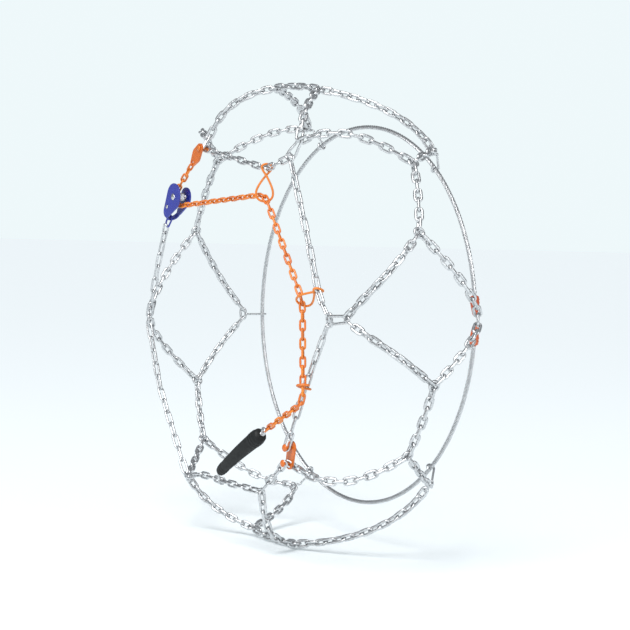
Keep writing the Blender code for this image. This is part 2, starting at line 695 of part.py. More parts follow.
def make_ratchet():
    """The tensioner: a folded housing, its axle, the pocket wheel, the pawl and its spring."""
    place = face_frame((RATCHET_AXLE[0], RATCHET_Y, RATCHET_AXLE[1]), RATCHET_LINE)
    inside, outside = (CHEEK_APART - CHEEK) / 2, (CHEEK_APART + CHEEK) / 2
    outline = lobe_outline(CHEEK_ROUND, CHEEK_TAIL, CHEEK_LENGTH)
    housing = plate("ratchet_housing", outline, inside, outside, "blue_paint", place)
    outline = lobe_outline(REAR_ROUND, REAR_TAIL, CHEEK_LENGTH)
    join(housing, "rear_cheek", prism("rear_cheek", outline, -outside, -inside), place)
    bend = CHEEK_LENGTH + FOLD_REACH
    leg, skin = bend - FOLD_LAP, SKIN
    fold = arc((bend, 0), outside + skin, 90, -90, 17) + [(leg, -outside - skin), (leg, -inside + skin)]
    fold += arc((bend, 0), inside - skin, -90, 90, 17) + [(leg, inside - skin), (leg, outside + skin)]
    upright = Matrix.Rotation(pi / 2, 4, "X")
    join(housing, "fold", prism("fold", fold, -FOLD_WIDTH / 2, FOLD_WIDTH / 2), place @ upright)
    pin_place = place @ Matrix.Translation((*PAWL_PIVOT, 0))
    drill(housing, "axle_hole", AXLE_RADIUS + GAP, place)
    drill(housing, "pawl_pin_hole", PAWL_PIN_RADIUS + GAP, pin_place)

    ends = (-outside - GAP, outside + GAP)
    headed_pin("ratchet_axle", AXLE_RADIUS, AXLE_HEAD[0], *ends, "zinc", place, AXLE_HEAD[1])
    headed_pin("pawl_pin", PAWL_PIN_RADIUS, PAWL_PIN_HEAD[0], *ends, "zinc", pin_place, PAWL_PIN_HEAD[1])

    pockets = []
    for t in np.linspace(0, tau, 32, endpoint=False):
        radius = POCKET_RADIUS * (1 - POCKET_DEPTH * (1 - cos(4 * t)))
        pockets.append((radius * cos(t), radius * sin(t)))
    wheel = plate("pocket_wheel", pockets, -POCKET_WIDTH / 2, TOOTH_LOW + 4 * SKIN, "zinc", place)
    pitch = 360 / TEETH
    teeth = []
    for tooth in range(TEETH):
        for share, radius in zip((0.0, TOOTH_SHARE), TOOTH_RADII):
            turn = radians(FIRST_TOOTH + (tooth + share) * pitch)
            teeth.append((radius * cos(turn), radius * sin(turn)))
    join(wheel, "teeth", prism("teeth", teeth, TOOTH_LOW, TOOTH_LOW + TOOTH_WIDTH), place)
    drill(wheel, "wheel_bore", AXLE_RADIUS + GAP, place)

    outline = PAWL_OUTLINE + arc((0, 0), PAWL_EYE, -70, 110, 12)
    low = TOOTH_LOW + SKIN
    pawl_hole = [(0, 0, PAWL_PIN_RADIUS + GAP)]
    plate("pawl", outline, low, low + PAWL_THICK, "blue_paint", pin_place, pawl_hole)
    coil = []
    for t in np.linspace(0, SPRING_TURNS * tau, 12 * SPRING_TURNS + 1):
        rise = SPRING_WIRE + SPRING_PITCH * t / tau
        coil.append(pin_place @ Vector((SPRING_RADIUS * cos(t), SPRING_RADIUS * sin(t), rise)))
    wire("pawl_spring", coil, SPRING_WIRE, "zinc", sides=1)
    opening = FOLD_WIDTH / 2 + 2 * GAP
    width = opening + 2 * LINK_WIRE
    near = bend + inside - skin - GAP + (opening**2 - (FOLD_WIDTH / 2) ** 2) ** 0.5 - width
    start, end = (np.array(place @ Vector((x, 0, 0))) for x in (near, near + LINK_LENGTH))
    ring_link("ratchet_link", start, end, width, LINK_WIRE, "blue_paint")


def make_rubber_tensioner():
    """The black rubber tensioner, hooked to the tension chain above and to the side chain below."""
    top, bottom = np.array(RUBBER_TOP), np.array(RUBBER_BOTTOM)
    along = (top - bottom) / np.linalg.norm(top - bottom)
    out = np.array((0.0, -1.0, 0.0))
    shares = np.linspace(0, 1, 11)
    points = [bottom + (top - bottom) * t + out * RUBBER_BOW * sin(pi * t) for t in shares]
    radii = np.interp(shares, [0, 0.1, 0.5, 0.9, 1], RUBBER_RADII)
    wire("rubber_tensioner", points, 1.0, "black_rubber", sides=5, radii=radii)
    across = np.cross(out, along)
    ring = top + along * TOP_HOOK_REACH
    hook = [top + along * GAP * 1.5]
    for t in np.linspace(0, 5.0, 16):
        turned_by = across * sin(t) - along * cos(t)
        hook.append(ring + turned_by * TOP_HOOK_RADIUS + out * GAP * 2 * t)
    wire("tensioner_top_hook", hook, HOOK_WIRE, "zinc", sides=1)
    held, reach = np.array(HOOK_PLACE), END_HOOK_RADIUS
    hook = [bottom - along * GAP * 1.5, bottom - along * 0.0040 + np.array((-0.001, 0.001, -0.001))]
    for t in np.linspace(0.6, -4.4, 16):
        hook.append(held + np.array((0.0, -reach * cos(t), reach * sin(t))))
    wire("tensioner_end_hook", hook, EYE_WIRE, "zinc", sides=1)


def hoop_point(angle, radius=HOOP_RADIUS, y=HOOP_Y):
    turn = radians(angle)
    return np.array((radius * cos(turn), y, radius * sin(turn)))


def make_inner_side():
    """The cable hoop behind the wheel, the hooks that tie the net to it, and the hooks on its two ends."""
    angles = np.linspace(HOOP_ENDS["upper"], HOOP_ENDS["lower"] + 360, 79)
    wire("inner_cable", [hoop_point(a) for a in angles], CABLE_RADIUS, "cable_steel", sides=1)
    ring = CABLE_RADIUS + 2 * GAP + INNER_HOOK_WIRE
    away = np.array((0.0, 1.0, 0.0))
    for hour in (11, 1, 5, 7, 9):
        angle = DIAMONDS[hour]["inner"]
        centre, outward = hoop_point(angle), hoop_point(angle, 1.0, 0.0)
        hook = [centre + ring * (outward * cos(t) + away * sin(t)) for t in np.linspace(5.6, 0.5, 16)]
        tip = on_tyre(*wall(angle, INNER_HOOK_END, 1))[0]
        hook += [tip - outward * 0.006 + away * 0.0045, tip]
        wire(f"inner_hook_{hour:02}", hook, INNER_HOOK_WIRE, "zinc", sides=1)
    span = degrees(SLEEVE_LENGTH / HOOP_RADIUS)
    for name, toward in {"upper": -span, "lower": span}.items():
        angle = HOOP_ENDS[name]
        spots = [hoop_point(angle + toward * share) for share in (0.012, 0.1, 0.5, 0.8)]
        for radius in np.linspace(0.288, END_HOOK_TIP, 6):
            spots.append(on_tyre(*wall(angle + toward * 0.95, radius, 1), 0.0040)[0])
        radii = [0.9 * SLEEVE_RADIUS, SLEEVE_RADIUS, SLEEVE_RADIUS, 0.0048, 0.0034] + [0.0029] * 5
        wire(f"cable_hook_{name}", spots, 1.0, "red_paint", sides=3, radii=radii)


clear_scene()
PARTS = collection(NAME)
CUTTERS = collection("cutters", helper=True)
MATERIALS = {name: material(name) for name in COLOURS}
make_net()
make_side_chain()
make_side_links()
make_closures()
make_ratchet()
make_rubber_tensioner()
make_inner_side()
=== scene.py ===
"""Looks of the tire snow chains: real links, coated fittings, studio floor, light and camera.

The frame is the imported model's: metres, the wheel's axle along Y, -Y the side that faces away from the car,
+Z up, the wheel's centre at the origin. Routes repeat the part's own driving values, in metres.
"""

import json
from math import atan2, copysign, cos, degrees, pi, radians, sin, sqrt, tau

import bmesh
import bpy
import numpy as np
from mathutils import Matrix, Vector


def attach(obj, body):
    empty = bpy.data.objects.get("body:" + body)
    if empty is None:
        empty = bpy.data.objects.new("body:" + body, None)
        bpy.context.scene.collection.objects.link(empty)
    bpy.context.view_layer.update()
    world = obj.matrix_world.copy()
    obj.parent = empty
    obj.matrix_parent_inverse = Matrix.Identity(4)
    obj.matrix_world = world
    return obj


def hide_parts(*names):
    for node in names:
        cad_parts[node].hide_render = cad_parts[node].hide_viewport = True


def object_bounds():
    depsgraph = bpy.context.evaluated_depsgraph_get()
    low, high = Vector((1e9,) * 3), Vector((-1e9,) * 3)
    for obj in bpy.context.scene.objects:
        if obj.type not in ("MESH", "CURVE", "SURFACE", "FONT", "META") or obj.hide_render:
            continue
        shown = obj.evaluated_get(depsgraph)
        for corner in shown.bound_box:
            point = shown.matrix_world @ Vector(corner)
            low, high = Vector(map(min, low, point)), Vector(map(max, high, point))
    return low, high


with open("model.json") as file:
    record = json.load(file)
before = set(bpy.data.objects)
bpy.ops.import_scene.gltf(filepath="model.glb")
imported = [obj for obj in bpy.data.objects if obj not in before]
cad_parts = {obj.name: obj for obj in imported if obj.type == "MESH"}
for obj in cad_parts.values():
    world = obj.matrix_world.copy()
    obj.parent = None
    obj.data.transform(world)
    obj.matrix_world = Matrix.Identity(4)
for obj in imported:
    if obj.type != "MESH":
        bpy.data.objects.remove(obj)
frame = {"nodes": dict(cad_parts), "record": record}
CAD_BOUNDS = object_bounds()
RNG = np.random.default_rng(7)
OUT = np.array((0.0, -1.0, 0.0))  # away from the car

# The tyre that carries the chains: a superellipse between its two bulges. It is never made.
TYRE_RADIUS = 0.330
TYRE_HALF_WIDTH = 0.1023
BULGE_RADIUS = 0.1916
CROWN_POWER = 4.7
SIDE_POWER = 3.0
FACE_Y = -0.1083  # level of the chains on the wheel's outer side

# Chains: wire diameter, link pitch, outside width of a link.
TREAD = (0.0040, 0.0145, 0.0126)
SIDE = (0.0032, 0.0210, 0.0112)
ORANGE = (0.0030, 0.0127, 0.0098)
LIFT = 0.0050  # a chain's middle above the tyre
CORNER = 0.0105  # a chain starts to turn this far from a corner of its route
CORNER_STEPS = 14
SLACK = 0.0003  # gap between pieces that hang in one another
LOOSE = 0.0002  # gap between a link and what its end hangs on
LINK_SHARES = (0.55, 0.16, 0.0, -0.16, -0.55)  # places along a link's straight side
WELD = (1.0, 1.09, 1.13, 1.09, 1.0)  # its wire's swelling there, on the welded side
LINK_TURN = 45  # degrees that a link turns about the chain, to alternate sides
TURN_SPREAD = 3  # degrees that its turn varies by at random
FADE = 0.5  # a turned end link passes this share of its extra turn on to the next
FLAT_NEIGHBOUR = 70  # degrees that the links next to a flat one stand at

INNER_CORNER_RADIUS = 0.306
# Each diamond's corners: outer as (angle, radius), inner as an angle, and ccw and cw as (angle, y).
DIAMONDS = {
    11: {"outer": (112, 0.276), "inner": 114, "ccw": (136, -0.010), "cw": (94, -0.040)},
    1: {"outer": (59, 0.283), "inner": 50, "ccw": (77, -0.025), "cw": (41, 0.014)},
    3: {"outer": (2, 0.273), "inner": 2, "ccw": (22, -0.015), "cw": (-13, 0.005)},
    5: {"outer": None, "inner": -47, "ccw": (-31, -0.006), "cw": (-82, -0.026)},
    7: {"outer": (-122, 0.304), "inner": -116, "ccw": (-102, -0.030), "cw": (-140, -0.015)},
    9: {"outer": (-176, 0.300), "inner": -177, "ccw": (-158, 0.000), "cw": (-201, -0.008)},
}
CLOSURE_STRAND_END = (-50, 0.2585)
SPLIT_STRAND_END = (-72, 0.2600)
SPLIT_STRAND_CUT = 0.016  # the split strand leaves its straight route this far from its end

# Corners of the side chain clockwise from eleven o'clock, as (x, z) or (x, y, z).
SIDE_12 = (0.0750, 0.2095)
SIDE_1 = (0.1346, 0.2242)
SIDE_2 = (0.1905, 0.1020)
SIDE_3_ABOVE = (0.2170, 0.0375)
SIDE_3 = (0.2440, 0.0070)
SIDE_4 = (0.1790, -0.1055, -0.0980)
SIDE_5_END = (0.0806, -0.1083, -0.2450)
SIDE_6 = (-0.0200, -0.2460)
SIDE_7_ABOVE = (-0.0900, -0.2440)
SIDE_7 = (-0.1390, -0.2540)
SIDE_7_BELOW = (-0.1810, -0.1980)
SIDE_8 = (-0.2360, -0.1260)
SIDE_9 = (-0.2800, -0.0240)
SIDE_10 = (-0.2500, 0.0680)
SIDE_10_ABOVE = (-0.2330, 0.1080)
SIDE_END = (-0.2067, -0.1185, 0.1254)
HOOK_PLACE = (-0.0310, -0.1083, -0.2455)

# Corners of the tension chain, where the guide eyes and the rubber hold it.
TENSION_12 = (0.0700, 0.1740)
TENSION_3 = (0.1765, 0.0290)
TENSION_4 = (0.2080, -0.1232, -0.1050)
TENSION_LAST = (0.0989, -0.1139, -0.1551)
TENSION_TRIMS = (-0.0028, -0.0020)  # its end links reach past its route

# Guide eyes: where each holds the side chain and the tension chain, and the way it faces.
EYES = {
    "12": ((0.0750, 0.2075), (0.0700, 0.1740), (0.85, -0.53, 0.05)),
    "03": ((0.2130, 0.0455), (0.1765, 0.0270), (0.35, -0.45, -0.8)),
    "04": ((0.1880, -0.0880), (0.1950, -0.0860), (0.45, -0.3, 0.85)),
}
# From the side chain to the wire's crossing, half the widths of the two loops, and the reach past the
# tension chain.
EYE_SHAPES = {
    "12": (0.0100, 0.0070, 0.0120, 0.0070),
    "03": (0.0085, 0.0066, 0.0104, 0.0056),
    "04": (0.0072, 0.0070, 0.0078, 0.0056),
}
EYE_WIRE = 0.0016
EYE_CROSSING = 1.2 * EYE_WIRE  # from the eye's middle plane to either wire where they cross
EYE_REACH_SIDE = 0.0056  # past the side chain

RATCHET_AXLE = (-0.1640, 0.1712)
RATCHET_Y = -0.1185
RATCHET_LINE = 227  # direction from the axle to the housing's fold
CHEEK_APART = 0.0210  # between the middles of the housing's cheeks
CHEEK = 0.0022
AXLE = (0.0032, (0.0050, 0.0014))  # radius, and its head's radius and height
PAWL_PIN = (0.0016, (0.0030, 0.0012))
PAWL_PIVOT = (0.0238, -0.0036)  # from the axle, along the housing's line and across it
RIVET_GROOVE = ((0.45, 0.80), (0.36, 0.98))  # a rolled head's groove, as shares of its radius and height
WRAP_RADIUS = 0.0136  # of the tension chain's middle round the pocket wheel

STUD_LENGTH = 0.0100
STUD_LEVEL = 0.66  # a chain hangs on a stud this share of the way up it
STUD_RADIUS = 0.0021
HEAD_RADIUS = 0.0052
HEAD_DOME = 0.0026
HEAD_UNDER = ((0.97 * HEAD_RADIUS, 0.0006), (1.5 * STUD_RADIUS, 0.0012), (STUD_RADIUS, 0.0020))
FOOT = ((STUD_RADIUS, 0.0014), (0.9 * HEAD_RADIUS, 0.0012), (0.86 * HEAD_RADIUS, 0.0))
FOOT_DEPTH = 0.0017  # of a stud's riveted foot, behind its plate
CLOSURE_THICK = 0.0030
CLOSURE_11 = (-0.1015, -0.1197, 0.2430)
CLOSURE_11_LINE = 225  # degrees, from its stud along the plate
CLOSURE_11_REACH = 0.0354  # from its stud to where the tension chain starts
CLOSURE_5 = (0.1620, -0.1102, -0.1720)
CLOSURE_5_LINE = 260
CLOSURE_5_REACH = 0.0220  # from its upper stud to its lower one

HOOP_RADIUS = 0.283
HOOP_Y = 0.1045
CABLE_RADIUS = 0.0032
HOOP_ENDS = {"upper": 8.4, "lower": -5.2}  # degrees
INNER_HOOKS = (11, 1, 5, 7, 9)
INNER_HOOK_WIRE = 0.0016
CABLE_STEP = 0.0030  # between the points of its strands
CABLE_LAY = 0.0340  # length of one turn of its strands
CABLE_STRANDS = 6
CORE_SHARE = 1.25  # the core's radius as a share of a strand's
SLEEVE_LENGTH = 0.0260
SLEEVE_SHARES = (0.0, 0.1, 0.3, 0.5, 0.8)
END_HOOK_START = 0.288
END_HOOK_TIP = 0.3000
END_HOOK_LIFT = 0.0040  # above the tyre
END_HOOK_TURN = 0.95  # the hook leaves the hoop at this share of its sleeve's turn
END_HOOK_RADII = (0.0050, 0.0061, 0.0062, 0.0060, 0.0046, 0.0034, 0.0029, 0.0028, 0.0028, 0.0028, 0.0026)
COLLARS = (0.6, 1.5, 2.4)  # places along those radii
COLLAR_HEIGHT = 0.0007
COLLAR_WIDTH = 0.16

RUBBER_TOP = (0.0889, -0.1143, -0.1614)
RUBBER_BOTTOM = (-0.0210, -0.1190, -0.2310)
RUBBER_SHARES = (0.0, 0.1, 0.5, 0.9, 1.0)  # places from its lower end, for its radii
RUBBER_RADII = (0.0065, 0.0080, 0.0098, 0.0116, 0.0098)
RUBBER_ROUND = 0.0050  # length of each rounded end
RUBBER_RIBS = (0.07, 0.11, 0.15, 0.84, 0.88, 0.92)
RIB_HEIGHT = 0.0005
RIB_WIDTH = 0.0011
SEAM_HEIGHT = 0.00035
SEAM_WIDTH = 0.10
RUBBER_FLAT = 0.08  # it is this share thinner than it is wide
RUBBER_BOW = 0.0030  # its middle stands this far off the straight line, away from the tyre
RUBBER_SIDES, RUBBER_ROWS = 40, 120
RUBBER_END = 0.04  # radians left off the cosine spacing of its rows, where its flat caps go
HOOK_WIRE = 0.0018
TOP_HOOK_REACH = 0.0070  # from the rubber's top to the middle of the hook's ring
TOP_HOOK_RADIUS = 0.0048
TOP_HOOK_RISE = 0.0006  # a radian of its ring rises this far off the wheel
TOP_HOOK_ROOT = (-0.0040, 0.0015)  # where the wire runs, from the rubber's end along its line
FERRULE = (0.0034, 0.0012, 0.0006, -0.002)  # radius, dome's height, where the dome starts, where it ends
END_HOOK_RADIUS = 0.0046
END_HOOK_ROOT = (0.0030, -0.0035)
END_HOOK_BEND = (-0.001, 0.001, -0.001)  # and how it leaves that line


# ---------------------------------------------------------------- routes


def tyre_section():
    """The tyre's outside from one bulge to the other as (y, radius), and the distance along it."""
    angle = np.linspace(0.0, pi, 721)
    y = -np.sign(np.cos(angle)) * np.abs(np.cos(angle)) ** (2 / SIDE_POWER) * TYRE_HALF_WIDTH
    radius = BULGE_RADIUS + (TYRE_RADIUS - BULGE_RADIUS) * np.sin(angle) ** (2 / CROWN_POWER)
    points = np.stack([y, radius], axis=1)
    along = np.concatenate([[0.0], np.cumsum(np.linalg.norm(np.diff(points, axis=0), axis=1))])
    return points, along - along[len(along) // 2]


SECTION, SECTION_ALONG = tyre_section()


def crown(angle, y):
    """A place on the tread as (angle, distance along the section)."""
    return angle, float(np.interp(y, SECTION[:, 0], SECTION_ALONG))


def wall(angle, radius, side=-1):
    """A place on a sidewall as (angle, distance along the section); side is -1 outside and 1 inside."""
    half = len(SECTION) // 2
    if side < 0:
        return angle, float(np.interp(radius, SECTION[: half + 1, 1], SECTION_ALONG[: half + 1]))
    return angle, float(np.interp(-radius, -SECTION[half:, 1], SECTION_ALONG[half:]))


def section_at(along):
    return np.array([np.interp(along, SECTION_ALONG, SECTION[:, i]) for i in (0, 1)])


def unit(vector):
    return np.array(vector, float) / np.linalg.norm(vector)


def on_tyre(angle, along, lift=LIFT):
    """The point lift above the tyre's surface there, and the surface's normal."""
    y, radius = section_at(along)
    tangent = unit(section_at(along + 0.002) - section_at(along - 0.002))
    normal = (-tangent[1], tangent[0])
    outward = np.array([cos(radians(angle)), 0.0, sin(radians(angle))])
    point = outward * (radius + lift * normal[1]) + np.array([0.0, y + lift * normal[0], 0.0])
    return point, outward * normal[1] + np.array([0.0, normal[0], 0.0])


def leg_on_tyre(start, end, count=60):
    """Points and normals of a chain pulled straight over the tyre from start to end."""
    start, end = np.array(start), np.array(end)
    pairs = [on_tyre(*(start + (end - start) * t)) for t in np.linspace(0, 1, count)]
    return np.array([p for p, _ in pairs]), np.array([n for _, n in pairs])


def on_face(spot):
    return np.array(spot if len(spot) == 3 else (spot[0], FACE_Y, spot[1]), float)


def leg_on_face(corners, count=30):
    """Points and normals of a chain along straight stretches between corners (x, z) or (x, y, z)."""
    knots = [on_face(c) for c in corners]
    steps = np.linspace(0, 1, count, endpoint=False)
    points = [a + (b - a) * t for a, b in zip(knots, knots[1:]) for t in steps]
    points.append(knots[-1])
    return np.array(points), np.tile(OUT, (len(points), 1))


def distance_along(points):
    return np.concatenate([[0.0], np.cumsum(np.linalg.norm(np.diff(points, axis=0), axis=1))])


def round_corner(first, second, reach=CORNER):
    """Joins two legs that share a corner with a smooth turn that starts reach away from it."""
    (points_a, normals_a), (points_b, normals_b) = first, second
    keep_a = distance_along(points_a[::-1])[::-1] > reach
    keep_b = distance_along(points_b) > reach
    start, end, corner = points_a[keep_a][-1], points_b[keep_b][0], points_a[-1]
    t = np.linspace(0, 1, CORNER_STEPS)[1:-1, None]
    turn = (1 - t) ** 2 * start + 2 * t * (1 - t) * corner + t**2 * end
    normals = np.tile(normals_a[-1], (len(turn), 1))
    return (
        np.concatenate([points_a[keep_a], turn, points_b[keep_b]]),
        np.concatenate([normals_a[keep_a], normals, normals_b[keep_b]]),
    )


def smooth_path(corners):
    path = leg_on_face(corners[:2])
    for a, b in zip(corners[1:], corners[2:]):
        path = round_corner(path, leg_on_face([a, b]))
    return path


def nearest(path, spot):
    """How far along the path it passes nearest to spot."""
    points = path[0]
    return distance_along(points)[int(np.argmin(np.linalg.norm(points - on_face(spot), axis=1)))]


def point_at(path, distance):
    """The path's point and normal there; past its ends it runs straight on."""
    points, normals = path
    along = distance_along(points)
    inside = min(max(distance, 0.0), along[-1])
    point = np.array([np.interp(inside, along, points[:, i]) for i in range(3)])
    normal = np.array([np.interp(inside, along, normals[:, i]) for i in range(3)])
    tangent = points[1] - points[0] if distance < 0 else points[-1] - points[-2]
    return point + unit(tangent) * (distance - inside), normal


def stud_level(closure, line=0.0, distance=0.0, side=-1, level=STUD_LENGTH * STUD_LEVEL):
    """Where a link hangs on a closure's stud, the stud being distance along the plate from the first one.

    side is -1 on a stud that points away from the tyre and 1 on one that points at it.
    """
    x, y, z = closure
    turn = radians(line)
    return x + distance * cos(turn), y + side * (CLOSURE_THICK / 2 + level), z + distance * sin(turn)


def side_paths():
    """The side chain's three runs from eleven o'clock to five, which the guide eyes hold in turn."""
    return (
        smooth_path([stud_level(CLOSURE_11, side=1), SIDE_12, SIDE_1]),
        smooth_path([SIDE_1, SIDE_2, SIDE_3_ABOVE, SIDE_3]),
        smooth_path([SIDE_3, SIDE_4, stud_level(CLOSURE_5)]),
    )


def tension_path():
    """From the closure at eleven o'clock round the pocket wheel and through the guide eyes."""
    turn = radians(CLOSURE_11_LINE)
    x, y, z = CLOSURE_11
    first = (x + CLOSURE_11_REACH * cos(turn), y, z + CLOSURE_11_REACH * sin(turn))
    axle = np.array(RATCHET_AXLE)
    before, after = np.array((first[0], first[2])) - axle, np.array(TENSION_12) - axle
    start = atan2(before[1], before[0]) + np.arccos(WRAP_RADIUS / np.linalg.norm(before))
    end = tau + atan2(after[1], after[0]) - np.arccos(WRAP_RADIUS / np.linalg.norm(after))
    wrap = [
        (axle[0] + WRAP_RADIUS * cos(t), RATCHET_Y, axle[1] + WRAP_RADIUS * sin(t))
        for t in np.linspace(start, end, 16)
    ]
    path = leg_on_face([first, *wrap, TENSION_12], count=16)
    corners = [TENSION_12, TENSION_3, TENSION_4, TENSION_LAST]
    for a, b in zip(corners, corners[1:]):
        path = round_corner(path, leg_on_face([a, b]))
    return path


# ---------------------------------------------------------------- meshes


def ring_faces(rows, sides, closed=False):
    """Faces between successive rings of vertices, with a cap on each end unless the rings close."""
    faces = []
    for i in range(rows if closed else rows - 1):
        j = (i + 1) % rows
        for k in range(sides):
            m = (k + 1) % sides
            faces.append((i * sides + k, i * sides + m, j * sides + m, j * sides + k))
    if not closed:
        faces.append(tuple(range(sides))[::-1])
        faces.append(tuple((rows - 1) * sides + k for k in range(sides)))
    return faces


def tube(points, radius, closed=False, sides=10, swell=None):
    """Vertices and faces of a round wire along points; swell scales its radius at each point."""
    points = np.array(points, float)
    count = len(points)
    ahead = np.roll(points, -1, axis=0) if closed else np.vstack([points[1:], 2 * points[-1] - points[-2]])
    behind = np.roll(points, 1, axis=0) if closed else np.vstack([2 * points[0] - points[1], points[:-1]])
    tangents = ahead - behind
    tangents /= np.linalg.norm(tangents, axis=1)[:, None]
    side = unit(np.cross(tangents[0], (0.31, 0.52, 0.79)))
    sides_along = [side]
    for tangent in tangents[1:]:
        side = unit(side - tangent * (side @ tangent))
        sides_along.append(side)
    sides_along = np.array(sides_along)
    others = np.cross(tangents, sides_along)
    if closed:
        last = unit(sides_along[-1] - tangents[0] * (sides_along[-1] @ tangents[0]))
        twist = atan2(last @ others[0], last @ sides_along[0])
        turns = -twist * np.arange(count) / count
        sides_along, others = (
            sides_along * np.cos(turns)[:, None] + others * np.sin(turns)[:, None],
            others * np.cos(turns)[:, None] - sides_along * np.sin(turns)[:, None],
        )
    radii = np.full(count, radius) * (1.0 if swell is None else np.array(swell))
    around = np.linspace(0, tau, sides, endpoint=False)
    ring = sides_along[:, None, :] * np.cos(around)[:, None] + others[:, None, :] * np.sin(around)[:, None]
    verts = (points[:, None, :] + ring * radii[:, None, None]).reshape(-1, 3)
    return verts, ring_faces(count, sides, closed)


def smooth_loop(points, closed=True, steps=6):
    """A Catmull-Rom curve through points."""
    points = [np.array(p, float) for p in points]
    if not closed:
        points = [2 * points[0] - points[1], *points, 2 * points[-1] - points[-2]]
    count = len(points)
    curve = []
    spans = range(count) if closed else range(1, count - 2)
    for i in spans:
        a, b, c, d = (points[(i + k) % count] for k in (-1, 0, 1, 2))
        for t in np.linspace(0, 1, steps, endpoint=False):
            square, cube = 2 * a - 5 * b + 4 * c - d, 3 * b - a - 3 * c + d
            curve.append((2 * b + (c - a) * t + square * t**2 + cube * t**3) / 2)
    if not closed:
        curve.append(points[-2])
    return np.array(curve)


def link(centre, along, lateral, inner, size):
    """A link inner long inside: a round-ended ring of wire with a weld's bulge halfway along one side."""
    wire, _, width = size
    bend = (width - wire) / 2
    straight = inner / 2 + wire / 2 - bend
    points, swell = [], []
    for sign in (1, -1):
        for t in np.linspace(-pi / 2, pi / 2, 8):
            x = sign * (straight + bend * cos(t))
            points.append(centre + along * x + lateral * sign * bend * sin(t))
            swell.append(1.0)
        for x, weld in zip(LINK_SHARES, WELD if sign > 0 else [1.0] * len(WELD)):
            points.append(centre + along * straight * sign * x + lateral * sign * bend)
            swell.append(weld)
    return tube(points, wire / 2, closed=True, swell=swell)


class Build:
    """Collects loose meshes that make one piece."""

    def __init__(self):
        self.verts, self.faces, self.tones, self.count = [], [], [], 0

    def put(self, verts, faces, tone=None):
        """Adds a mesh; tone, from 0 to 1, shades it apart from its neighbours and is random by default."""
        self.verts.append(verts)
        self.faces += [tuple(i + self.count for i in face) for face in faces]
        self.tones.append(np.full(len(verts), RNG.random() if tone is None else tone))
        self.count += len(verts)

    def piece(self, name, finish, body="chain_net", replaces=()):
        """Makes the piece, on its body and in place of the CAD nodes that it replaces."""
        data = bpy.data.meshes.new(name)
        data.from_pydata(np.concatenate(self.verts).tolist(), [], self.faces)
        data.update()
        data.shade_smooth()
        attribute = data.attributes.new("tone", "FLOAT", "POINT")
        attribute.data.foreach_set("value", np.concatenate(self.tones).astype(np.float32))
        obj = bpy.data.objects.new(name, data)
        bpy.context.scene.collection.objects.link(obj)
        dress(obj, finish)
        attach(obj, body)
        if replaces:
            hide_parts(*replaces)

    def stand_in(self, node, suffix, finish="zinc", body="chain_net"):
        """Makes the piece that replaces one CAD node."""
        self.piece(f"{node}_{suffix}", finish, body, [node])


def joints_along(path, start_trim, end_trim, pitch, fixed=()):
    """Distances of the places where links meet, with one at each fixed distance."""
    total = distance_along(path[0])[-1]
    stops = [start_trim, *sorted(fixed), total - end_trim]
    joints = [stops[0]]
    for a, b in zip(stops, stops[1:]):
        count = max(1, round((b - a) / pitch))
        joints += list(np.linspace(a, b, count + 1)[1:])
    return joints


def strand(build, path, size, trims, fixed=(), stand=(0, 0), lean=0, flat=None):
    """Adds a run of links along path, turned alternately to either side of lean about the chain.

    trims are the lengths left off the path's ends, and links meet at the fixed distances. stand says how many
    degrees more its first and last links turn. The link at the distance flat lies flat to the surface.
    """
    joints = joints_along(path, *trims, size[1], fixed)
    count = len(joints) - 1
    signs = [1 if k % 2 == 0 else -1 for k in range(count)]
    turns = []
    for k, sign in enumerate(signs):
        extra = stand[0] * signs[0] * FADE**k + stand[1] * signs[-1] * FADE ** (count - 1 - k)
        turns.append(lean + LINK_TURN * sign + extra + RNG.uniform(-TURN_SPREAD, TURN_SPREAD))
    if flat is not None:
        middle = int(np.searchsorted(joints, flat)) - 1
        turns[middle] = 0
        for near in (middle - 1, middle + 1):
            turns[near] = copysign(FLAT_NEIGHBOUR, signs[near])
    for k, turn in enumerate(turns):
        (a, _), (b, _) = point_at(path, joints[k]), point_at(path, joints[k + 1])
        _, normal = point_at(path, (joints[k] + joints[k + 1]) / 2)
        along = unit(b - a)
        normal = unit(normal - along * (normal @ along))
        across = np.cross(along, normal)
        lateral = across * cos(radians(turn)) + normal * sin(radians(turn))
        build.put(*link((a + b) / 2, along, lateral, np.linalg.norm(b - a) + SLACK, size))


# ---------------------------------------------------------------- materials


# The helpers add nodes to a material and return the last one's output.


def shader_nodes(name):
    made = bpy.data.materials.new(name)
    made.use_nodes = True
    nodes, links = made.node_tree.nodes, made.node_tree.links
    return made, nodes, links, nodes["Principled BSDF"]


def noise(nodes, links, scale, detail=4.0, rough=0.55):
    coords = nodes.new("ShaderNodeTexCoord")
    made = nodes.new("ShaderNodeTexNoise")
    made.inputs["Scale"].default_value = scale
    made.inputs["Detail"].default_value = detail
    made.inputs["Roughness"].default_value = rough
    links.new(coords.outputs["Object"], made.inputs["Vector"])
    return made.outputs["Fac"]


def ramp(nodes, links, source, stops):
    made = nodes.new("ShaderNodeValToRGB")
    elements = made.color_ramp.elements
    while len(elements) < len(stops):
        elements.new(0.5)
    for element, (place, colour) in zip(elements, stops):
        element.position = place
        element.color = (*colour, 1)
    links.new(source, made.inputs["Fac"])
    return made.outputs["Color"]


def mix(nodes, links, factor, a, b, blend="MIX"):
    made = nodes.new("ShaderNodeMix")
    made.data_type = "RGBA"
    made.blend_type = blend
    for value, socket in ((factor, made.inputs["Factor"]), (a, made.inputs["A"]), (b, made.inputs["B"])):
        if isinstance(value, bpy.types.NodeSocket):
            links.new(value, socket)
        else:
            socket.default_value = value
    return made.outputs["Result"]


